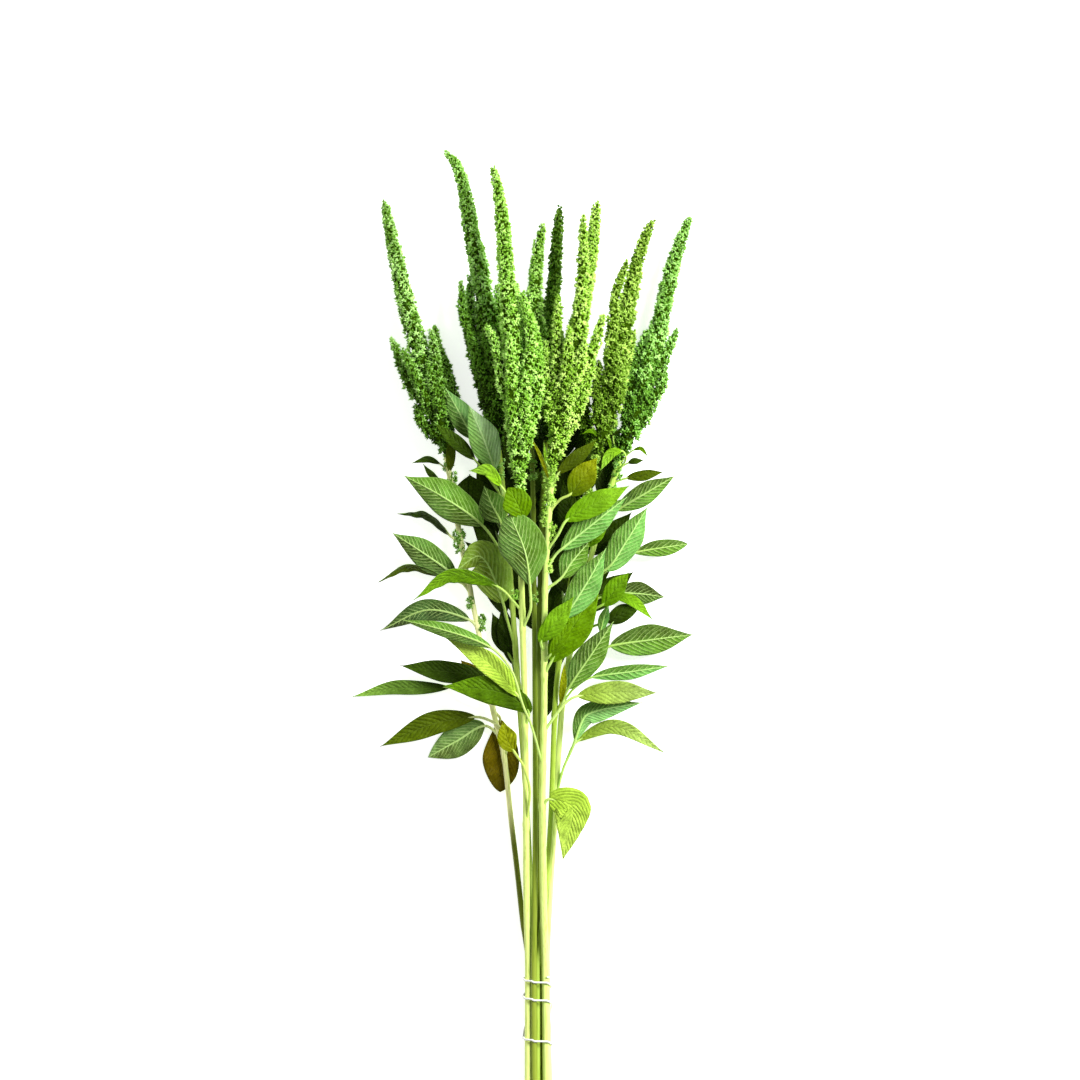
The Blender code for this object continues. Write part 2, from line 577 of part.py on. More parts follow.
def main():
    for old in list(bpy.data.objects):
        bpy.data.objects.remove(old)
    stalk_green = material("stalk_green", (0.36, 0.52, 0.10), 0.55)
    head_green = material("head_green", (0.25, 0.42, 0.06), 0.85)
    band_white = material("band_white", (0.86, 0.87, 0.86), 0.5)
    for number in STEMS:
        meshes = [stem_mesh(number)]
        meshes += [leaf_mesh(number, leaf) for leaf in LEAVES[number]]
        fuse(f"stalk_{number}", meshes, stalk_green)
    for number in HEADS:
        fuse(f"head_{number}", head_meshes(number), head_green)
    fuse("binding_band", [band_mesh()], band_white)


if __name__ == "__main__":
    main()
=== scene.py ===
# %% [markdown]
# # A tied bunch of green amaranth
# Amaranth is cut as long leafy stalks, each topped by an upright seed head that is packed with tiny
# green florets. Eight stalks are held near their cut ends by one white elastic. The bunch lies on
# its back here, because a cut bunch has nothing to stand on. The solid model gives every stalk,
# head and the band its true place, and this script dresses each of them in turn.

# %% Load the solid model
import functools
import math

import bpy
import numpy as np
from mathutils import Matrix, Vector


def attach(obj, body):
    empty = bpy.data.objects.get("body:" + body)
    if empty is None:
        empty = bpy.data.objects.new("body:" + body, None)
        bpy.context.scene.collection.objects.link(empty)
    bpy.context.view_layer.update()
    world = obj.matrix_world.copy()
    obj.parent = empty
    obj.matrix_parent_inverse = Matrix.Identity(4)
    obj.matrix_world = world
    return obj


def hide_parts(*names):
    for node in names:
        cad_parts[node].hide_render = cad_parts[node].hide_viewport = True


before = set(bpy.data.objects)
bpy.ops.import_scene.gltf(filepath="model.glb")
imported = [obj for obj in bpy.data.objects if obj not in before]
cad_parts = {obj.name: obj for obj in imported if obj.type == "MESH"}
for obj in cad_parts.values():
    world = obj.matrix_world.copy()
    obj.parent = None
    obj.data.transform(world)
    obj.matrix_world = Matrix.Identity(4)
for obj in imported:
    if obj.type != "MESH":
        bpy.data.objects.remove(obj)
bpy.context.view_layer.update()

# %% [markdown]
# Work that repeats should give the same result each run, so every random draw comes from one
# generator with a fixed seed. A few short helpers follow, each for something that many cells need.

# %% A seeded generator, and helpers for picking and placing
rng = np.random.default_rng(8)
MM = 0.001
TURN = 2 * math.pi
# Nothing may dip below the floor that the bunch lies on
LOWEST = 0.1 * MM


def choose(*bodies):
    """Operators act on all that is selected, so only these are left selected, the first active."""
    bpy.ops.object.select_all(action="DESELECT")
    for body in bodies:
        body.select_set(True)
    if bodies:
        bpy.context.view_layer.objects.active = bodies[0]


def named(name):
    """The active object, such as the one just added, with its name."""
    bpy.context.object.name = name
    return bpy.context.object


def pick(body, kind, wanted):
    """Enter edit mode with only those edges or faces selected that pass the test."""
    choose(body)
    bpy.ops.object.mode_set(mode="EDIT")
    bpy.ops.mesh.select_mode(type=kind)
    bpy.ops.mesh.select_all(action="DESELECT")
    bpy.ops.object.mode_set(mode="OBJECT")
    for part in body.data.edges if kind == "EDGE" else body.data.polygons:
        part.select = wanted(part)
    bpy.ops.object.mode_set(mode="EDIT")


def points_of(mesh):
    """All of a mesh's points as one table with a row each."""
    table = np.empty(len(mesh.vertices) * 3)
    mesh.vertices.foreach_get("co", table)
    return table.reshape(-1, 3)


def own_copy(blank, name):
    """A copy of a modelled blank with a mesh of its own, and that mesh's points."""
    body = linked(name, blank.data.copy())
    return body, points_of(body.data)


def move_points(body, table):
    body.data.vertices.foreach_set("co", table.ravel())
    body.data.update()


def linked(name, data):
    body = bpy.data.objects.new(name, data)
    bpy.context.scene.collection.objects.link(body)
    return body


def joined(bodies, name):
    """Several objects made one."""
    choose(*bodies)
    if len(bodies) > 1:
        bpy.ops.object.join()
    whole = named(name)
    whole.data.name = name
    return whole


def smooth(body):
    faces = body.data.polygons
    faces.foreach_set("use_smooth", np.ones(len(faces), dtype=bool))


def triangles_in(*bodies):
    for body in bodies:
        body.data.calc_loop_triangles()
    return sum(len(body.data.loop_triangles) for body in bodies)


def stands_for(body, node):
    """A finished piece replaces its solid and moves with the one rigid body."""
    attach(body, "root")
    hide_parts(node)


def paint(mesh, tint, fourth=1.0):
    """Keep a colour and a fourth number for each point, which a material reads back."""
    layer = mesh.color_attributes.new("tint", "FLOAT_COLOR", "POINT")
    table = np.column_stack([tint, np.broadcast_to(fourth, len(tint))])
    layer.data.foreach_set("color", table.ravel())


def colour(red, green, blue):
    """A colour seen on screen, 0 to 255, turned into the linear light that Blender reckons in."""
    shares = (red / 255, green / 255, blue / 255)
    return tuple(s / 12.92 if s <= 0.04045 else ((s + 0.055) / 1.055) ** 2.4 for s in shares)


def blended(first, second, share):
    """Two seen colours mixed by a share for each point."""
    first, second = np.array(colour(*first)), np.array(colour(*second))
    return first + (second - first) * np.asarray(share)[:, None]


print("helpers ready")

# %% [markdown]
# ## The photograph's frame
# The photograph looks straight at the bunch, and its tables of places are in its own pixels. The
# bunch is 953 pixels long and really about 800 mm. The camera looks straight down on it, from far
# away with a long lens, so that near and far leaves are seen at one scale as in the tables.

# %% Pixels into metres, and the camera
BUNCH_LENGTH = 0.8
PHOTO_LENGTH_PX = 953.0
PHOTO_CENTRE_PX = (521.5, 626.5)
PHOTO_SIDE_PX = 1080
M_PER_PX = BUNCH_LENGTH / PHOTO_LENGTH_PX


def place(pixel_x, pixel_y, height):
    """Turn (pixel x, pixel y, height in mm) into a point in metres."""
    across = (pixel_x - PHOTO_CENTRE_PX[0]) * M_PER_PX
    along = (PHOTO_CENTRE_PX[1] - pixel_y) * M_PER_PX
    return (across, along, height * MM)


CAMERA_HEIGHT = 8.0
FOCUS_HEIGHT_MM = 30.0
SENSOR_MM = 36.0
middle = place(PHOTO_SIDE_PX / 2, PHOTO_SIDE_PX / 2, FOCUS_HEIGHT_MM)
bpy.ops.object.camera_add(location=(middle[0], middle[1], CAMERA_HEIGHT), rotation=(0, 0, 0))
camera = named("camera")
camera.data.sensor_width = SENSOR_MM
camera.data.lens = SENSOR_MM * (CAMERA_HEIGHT - middle[2]) / (PHOTO_SIDE_PX * M_PER_PX)
camera.data.clip_end = 50
bpy.context.scene.camera = camera
print("camera at", [round(c, 3) for c in camera.location], "lens", round(camera.data.lens), "mm")

# %% [markdown]
# ## Floor and light
# The photograph is evenly lit on white. A wide white plane that glows a little and a pale world
# give that. One soft lamp from the right makes the right half of each leaf lighter, as in the
# photograph, and a weak one from the left keeps the shade from going grey. On the leaves that show
# their undersides, the right half is also painted lighter and the left half painted darker, as
# painted light and shade.

# %% Floor, world and lamps
FLOOR_SIZE = 40.0
FLOOR_GLOW = 0.7
WORLD_LIGHT = 0.32
# Place and size in metres, and power in watts
LAMPS = {"key lamp": ((2.0, 1.2, 2.3), 1.3, 185.0), "fill lamp": ((-1.9, 1.3, 1.9), 2.2, 12.0)}

choose()
bpy.ops.mesh.primitive_plane_add(size=FLOOR_SIZE, location=(0, 0, 0))
floor = named("floor")
paper = bpy.data.materials.new("white floor")
paper.use_nodes = True
sheen = paper.node_tree.nodes["Principled BSDF"].inputs
sheen["Base Color"].default_value = (0.93, 0.93, 0.93, 1)
sheen["Roughness"].default_value = 0.9
sheen["Emission Color"].default_value = (1, 1, 1, 1)
sheen["Emission Strength"].default_value = FLOOR_GLOW
floor.data.materials.append(paper)

world = bpy.data.worlds.new("pale studio")
bpy.context.scene.world = world
world.use_nodes = True
world.node_tree.nodes["Background"].inputs["Color"].default_value = (1, 1, 1, 1)
world.node_tree.nodes["Background"].inputs["Strength"].default_value = WORLD_LIGHT

for name, (spot, size, power) in LAMPS.items():
    bpy.ops.object.light_add(type="AREA", location=spot)
    lamp = named(name)
    lamp.data.size = size
    lamp.data.energy = power
    lamp.rotation_euler = Vector(spot).to_track_quat("Z", "Y").to_euler()
bpy.context.scene.view_settings.view_transform = "Standard"
print("lamps:", ", ".join(LAMPS))

# %% [markdown]
# ## Smooth routes
# Stems, petioles and spikes all follow curves through a few named points. The curve must never
# swing past its points, or thin stems would bulge into each other, so each slope is the harmonic
# mean of its two neighbours, and flat where they disagree.

# %% A route through points
class Route:
    """Smooth curve through points that never swings past them."""

    def __init__(self, points):
        self.points = np.array(points, dtype=float)
        runs = np.diff(self.points, axis=0)
        spans = np.linalg.norm(runs, axis=1)
        self.stops = np.concatenate([[0.0], np.cumsum(spans)])
        self.length = self.stops[-1]
        steps = runs / spans[:, None]
        product = steps[:-1] * steps[1:]
        total = steps[:-1] + steps[1:]
        safe = np.where(np.abs(total) < 1e-12, 1.0, total)
        inner = np.where(product > 0, 2 * product / safe, 0.0)
        self.slopes = np.vstack([steps[:1], inner, steps[-1:]])

    def at(self, distances):
        distances = np.clip(np.atleast_1d(distances), 0, self.length)
        index = np.searchsorted(self.stops, distances, side="left") - 1
        index = np.clip(index, 0, len(self.points) - 2)
        span = (self.stops[index + 1] - self.stops[index])[:, None]
        t = (distances - self.stops[index])[:, None] / span
        start, end = self.points[index], self.points[index + 1]
        pull_start, pull_end = self.slopes[index] * span, self.slopes[index + 1] * span
        return ((2 * t**3 - 3 * t**2 + 1) * start + (t**3 - 2 * t**2 + t) * pull_start
                + (3 * t**2 - 2 * t**3) * end + (t**3 - t**2) * pull_end)

    def frames(self, distances, reach=0.0008):
        """Middle, heading, and the ways to the side and up, at each distance."""
        ahead = self.at(np.asarray(distances) + reach) - self.at(np.asarray(distances) - reach)
        heading = ahead / np.linalg.norm(ahead, axis=1)[:, None]
        side = crossed(heading, (0.0, 0.0, 1.0))
        return self.at(distances), heading, side, crossed(side, heading)

    def at_photo_height(self, pixel_y):
        """Distance along the route at which it passes a height in the photograph."""
        wanted = place(0, pixel_y, 0)[1]
        low, high = 0.0, self.length
        for _ in range(30):
            middle = (low + high) / 2
            if self.at(middle)[0][1] < wanted:
                low = middle
            else:
                high = middle
        return low


def crossed(first, second):
    """Unit vectors square to both, row by row."""
    product = np.cross(first, second)
    return product / np.linalg.norm(product, axis=1)[:, None]


def level_of(share, levels):
    return np.rint(share * levels).astype(int)


def wrap(flat, frames, radii, around=None):
    """Bend an upright unit tube's points along a route: x and y go round it, z from 0 to 1 along.

    frames and radii hold one row for each level of the blank."""
    middle, _, side, up = frames
    level = level_of(flat[:, 2], len(middle) - 1)
    radius = np.asarray(radii)[level]
    if around is not None:
        radius = radius * around(np.arctan2(flat[:, 1], flat[:, 0]), level)
    return (middle[level] + side[level] * (flat[:, 0] * radius)[:, None]
            + up[level] * (flat[:, 1] * radius)[:, None])


def upright_tube(name, sides, levels, *finishes, inset=0.0):
    """A unit tube, 1 long, cut into levels; its lower end may get an inset ring for a cut face."""
    choose()
    bpy.ops.mesh.primitive_cylinder_add(vertices=sides, radius=1, depth=1, location=(0, 0, 0.5))
    tube = named(name)
    bpy.ops.object.transform_apply(location=True, rotation=False, scale=False)

    def upright(edge):
        low, high = (tube.data.vertices[k].co.z for k in edge.vertices)
        return abs(low - high) > 0.5

    pick(tube, "EDGE", upright)
    bpy.ops.mesh.subdivide(number_cuts=levels - 1)
    bpy.ops.object.mode_set(mode="OBJECT")
    if inset:
        pick(tube, "FACE", lambda face: face.normal.z < -0.9)
        bpy.ops.mesh.inset(thickness=inset, depth=0)
        bpy.ops.object.mode_set(mode="OBJECT")
        for face in tube.data.polygons:
            face.material_index = 1 if face.select else 0
    for face in tube.data.polygons:
        face.use_smooth = abs(face.normal.z) < 0.5
    for finish in finishes:
        tube.data.materials.append(finish)
    return tube


def trail(points):
    """The route through a list of places in the photograph."""
    return Route([place(*point) for point in points])


print("a route of", round(trail([(0, 1000, 0), (0, 500, 5)]).length, 3), "m")

# %% [markdown]
# ## Where every stalk, head and leaf lies
# These tables are those of the solid model, apart from a few stems and leaves that were matched to
# the photograph once more. Each stem and spike is a list of (pixel x, pixel y, height in mm) from
# its foot to its tip.

# %% Stems
# Radius at the cut end and at the head in mm, then the route between them
STEMS = {
    1: ((2.35, 2.1), [(527.7, 1103, 4.45), (527.7, 960, 4.45), (523, 925, 4.6), (517, 870, 5.0),
        (511, 820, 6.0), (504, 757, 7.2), (494, 715, 8.4), (480, 640, 10.5), (465, 565, 13),
        (451, 485, 15.5), (446, 455, 16.5)]),
    2: ((2.6, 2.1), [(534, 1098, 4.7), (534, 970, 4.7), (531, 900, 5.2), (526, 800, 8), (519, 700, 12),
        (512, 600, 16), (503, 490, 21.5), (499, 450, 24)]),
    3: ((2.9, 2.4), [(528, 1101, 10.1), (528.2, 970, 10.1), (526.5, 900, 15), (526, 800, 25),
        (525, 720, 33), (522, 600, 45), (520, 510, 54), (520, 490, 56.5)]),
    4: ((2.45, 2.0), [(534.6, 1096, 13.6), (533.8, 970, 13.8), (534.8, 900, 16.5), (535.4, 800, 19),
        (535, 700, 24), (533, 500, 33), (532, 440, 36)]),
    5: ((2.75, 2.2), [(541, 1103, 4.5), (540, 970, 4.5), (539.3, 900, 4.7), (538.6, 800, 5.5),
        (538, 700, 7.5), (540, 600, 10), (543, 500, 13), (546, 440, 15)]),
    6: ((3.5, 2.2), [(547, 1100, 11.4), (545.4, 970, 11.6), (544.4, 935, 15.5), (543.5, 900, 19.5),
        (542.5, 804, 28.5), (544, 720, 36), (545, 590, 47.5), (550, 500, 55.5), (552, 470, 58)]),
    7: ((2.45, 2.1), [(537.4, 1099, 9.3), (537.4, 970, 9.3), (541, 935, 9.6), (545, 900, 10.8),
        (551, 820, 15), (555.5, 700, 22), (568, 600, 29), (586, 500, 37.5), (596, 455, 42)]),
    8: ((2.7, 2.1), [(550, 1102, 4.8), (547, 970, 4.8), (550, 900, 5.0), (555, 820, 6.2), (562, 710, 8.5),
        (583, 590, 12), (597, 535, 14.5), (610, 490, 17), (620, 460, 18)]),
}

# %% Heads
# Greatest radius in mm, route from base to tip, and side spikes from their roots to their tips
HEADS = {
    1: (8.6, [(446, 455, 16.5), (441, 430, 17.5), (432, 395, 18), (422, 358, 18), (412, 325, 18),
        (402, 285, 17), (392, 240, 15), (384, 200, 13)], [
        [(434, 415, 18), (415, 393, 17), (391, 338, 14)], [(436, 425, 18), (427, 400, 26), (402, 349, 28)],
        [(440, 430, 18), (440, 400, 24), (431, 330, 27)], [(438, 425, 18), (444, 390, 11), (434, 325, 8)],
        [(444, 445, 17), (454, 408, 12), (450, 380, 10), (443, 353, 9)],
        [(442, 440, 17), (440, 415, 28), (427, 362, 29)],
        [(444, 448, 17), (434, 434, 21), (421, 421, 21), (416, 404, 20)],
        [(440, 430, 18), (436, 400, 6.6), (422, 350, 2.5)]]),
    2: (8.8, [(499, 450, 24), (495, 420, 25), (490, 350, 27), (484, 300, 28), (478, 262, 29),
        (472, 235, 29), (467, 205, 29), (462, 180, 29), (455, 162, 28), (445, 152, 27)], [
        [(493, 405, 25), (481, 360, 28), (463, 310, 29), (461, 282, 28)],
        [(494, 415, 25), (484, 380, 36), (468, 330, 38)],
        [(496, 430, 25), (483, 390, 28), (471, 345, 28), (464, 315, 28)],
        [(496, 425, 25), (494, 390, 15), (484, 330, 13)], [(496, 430, 25), (485, 400, 18), (476, 350, 16)],
        [(495, 425, 25), (496, 390, 36), (484, 330, 38)]]),
    3: (8.6, [(520, 490, 56.5), (519, 450, 60), (516, 400, 62), (513, 350, 63), (510, 310, 63),
        (507, 280, 62), (504, 240, 61), (500, 200, 59), (493, 168, 57)], [
        [(517, 430, 61), (504, 385, 64), (495, 343, 64), (486, 326, 63)],
        [(518, 440, 61), (513, 400, 71), (509, 336, 73)],
        [(518, 435, 61), (524, 395, 70), (531, 344, 70), (522.6, 293, 67)],
        [(519, 460, 60), (529, 435, 65), (538, 376, 66), (537, 345, 65), (529, 310, 63)],
        [(519, 465, 59), (515, 430, 70), (509, 381, 73)], [(519, 470, 59), (526, 440, 69), (525, 392, 74)],
        [(517, 420, 61), (513, 380, 51), (509, 330, 50)]]),
    4: (7.6, [(532, 440, 36), (533, 380, 38), (534, 330, 39), (535, 290, 40), (537, 262, 40),
        (540, 240, 40), (543, 225, 40)], [
        [(533, 400, 37), (541, 370, 34), (542, 320, 33)], [(533, 400, 37), (524, 370, 36), (524, 325, 35)],
        [(533, 410, 37), (532, 370, 28), (534, 315, 28)]]),
    5: (7.2, [(546, 440, 15), (548, 400, 16), (550, 350, 17), (552, 310, 18), (555, 270, 18),
        (557, 240, 18), (560, 206, 17)], [
        [(547, 415, 16), (557, 380, 20), (561, 330, 21)], [(547, 415, 16), (539, 385, 14), (541, 335, 13)],
        [(547, 410, 16), (549, 370, 8), (552, 320, 7.5)]]),
    6: (8.4, [(552, 470, 58), (558, 440, 60), (566, 400, 62), (573, 360, 63), (580, 320, 63),
        (585, 290, 62), (590, 260, 61), (594, 230, 60), (597, 203, 58)], [
        [(574, 355, 63), (581, 300, 71), (583, 255, 70), (583, 217, 68)],
        [(566, 400, 62), (588, 365, 62), (603, 316, 60)], [(568, 390, 62), (579, 370, 71), (584, 341, 72)],
        [(563, 415, 61), (584, 392, 60), (593, 350, 58)], [(563, 415, 61), (567, 370, 72), (569, 328, 73)],
        [(560, 430, 60), (573, 420, 66), (585, 395, 66)],
        [(561, 425, 60.5), (569, 400, 71), (573, 373, 74)],
        [(560, 430, 60), (557, 380, 65), (558, 297, 63)], [(558, 440, 60), (549, 410, 62), (546, 343, 61)],
        [(563, 415, 61), (572, 380, 51), (580, 330, 50)]]),
    7: (8.2, [(596, 455, 42), (602, 435, 43), (608, 405, 44), (615, 370, 45), (622, 335, 45),
        (629, 300, 44), (635, 270, 43), (643, 243, 42), (653, 221, 40)], [
        [(608, 405, 44), (611, 350, 52), (615, 300, 53), (627, 261, 51)],
        [(604, 425, 43), (597, 395, 46), (599, 362, 46)], [(608, 410, 44), (617, 385, 53), (616, 350, 54)],
        [(605, 420, 43.5), (618, 400, 48), (623, 370, 50)],
        [(602, 435, 43), (597, 420, 46), (596, 392, 47)], [(606, 415, 44), (610, 375, 34), (622, 325, 33)],
        [(606, 415, 44), (622, 375, 39), (634, 330, 38)]]),
    8: (8.4, [(620, 460, 18), (630, 430, 19), (640, 400, 20), (650, 365, 20), (658, 335, 20),
        (665, 300, 19), (672, 270, 18), (681, 240, 17), (690, 217, 15)], [
        [(638, 404, 20.7), (659, 366, 21.5), (678, 329, 20)],
        [(634, 421, 19), (652, 401, 22.5), (663, 380, 22.5), (664, 358, 22)],
        [(630, 431, 19), (645, 418, 19), (655, 397, 18)],
        [(636, 412, 19.5), (643, 380, 29), (652, 335, 30)],
        [(638, 405, 20), (648, 370, 6.5), (662, 315, 2.5)],
        [(635, 417, 19.5), (634, 380, 24.5), (647, 330, 25)],
        [(636, 411, 19), (641, 375, 10), (654, 325, 8)]]),
}
# Side spikes that only fill the dark places between the heads
INNER_SPIKES = {
    2: [[(494, 420, 18), (482, 370, 20), (472, 322, 22), (469.5, 274, 24)],
        [(499, 440, 18), (501, 385, 24), (499, 335, 26), (497, 286, 26)]],
    3: [[(519, 440, 52), (521, 380, 54), (521, 330, 54), (517, 285, 54)]],
    4: [[(531, 430, 26), (522, 390, 24), (519, 340, 24)]],
    5: [[(549, 430, 14), (562, 395, 14), (572, 355, 14)], [(548, 440, 13), (560, 425, 14), (573, 398, 14)],
        [(546, 420, 13), (543, 370, 12), (544, 298, 12)]],
    6: [[(556, 450, 50), (571, 425, 48), (579, 390, 48), (586, 352, 50)]],
    7: [[(600, 440, 34), (608, 405, 31), (609, 370, 31), (612, 340, 33)],
        [(598, 446, 34), (586, 425, 34), (582, 380, 36)]],
    8: [[(620, 455, 17), (611, 425, 16), (609, 390, 16), (613, 345, 16)],
        [(622, 450, 17), (627, 420, 20), (630, 385, 24), (633, 345, 26)]],
}

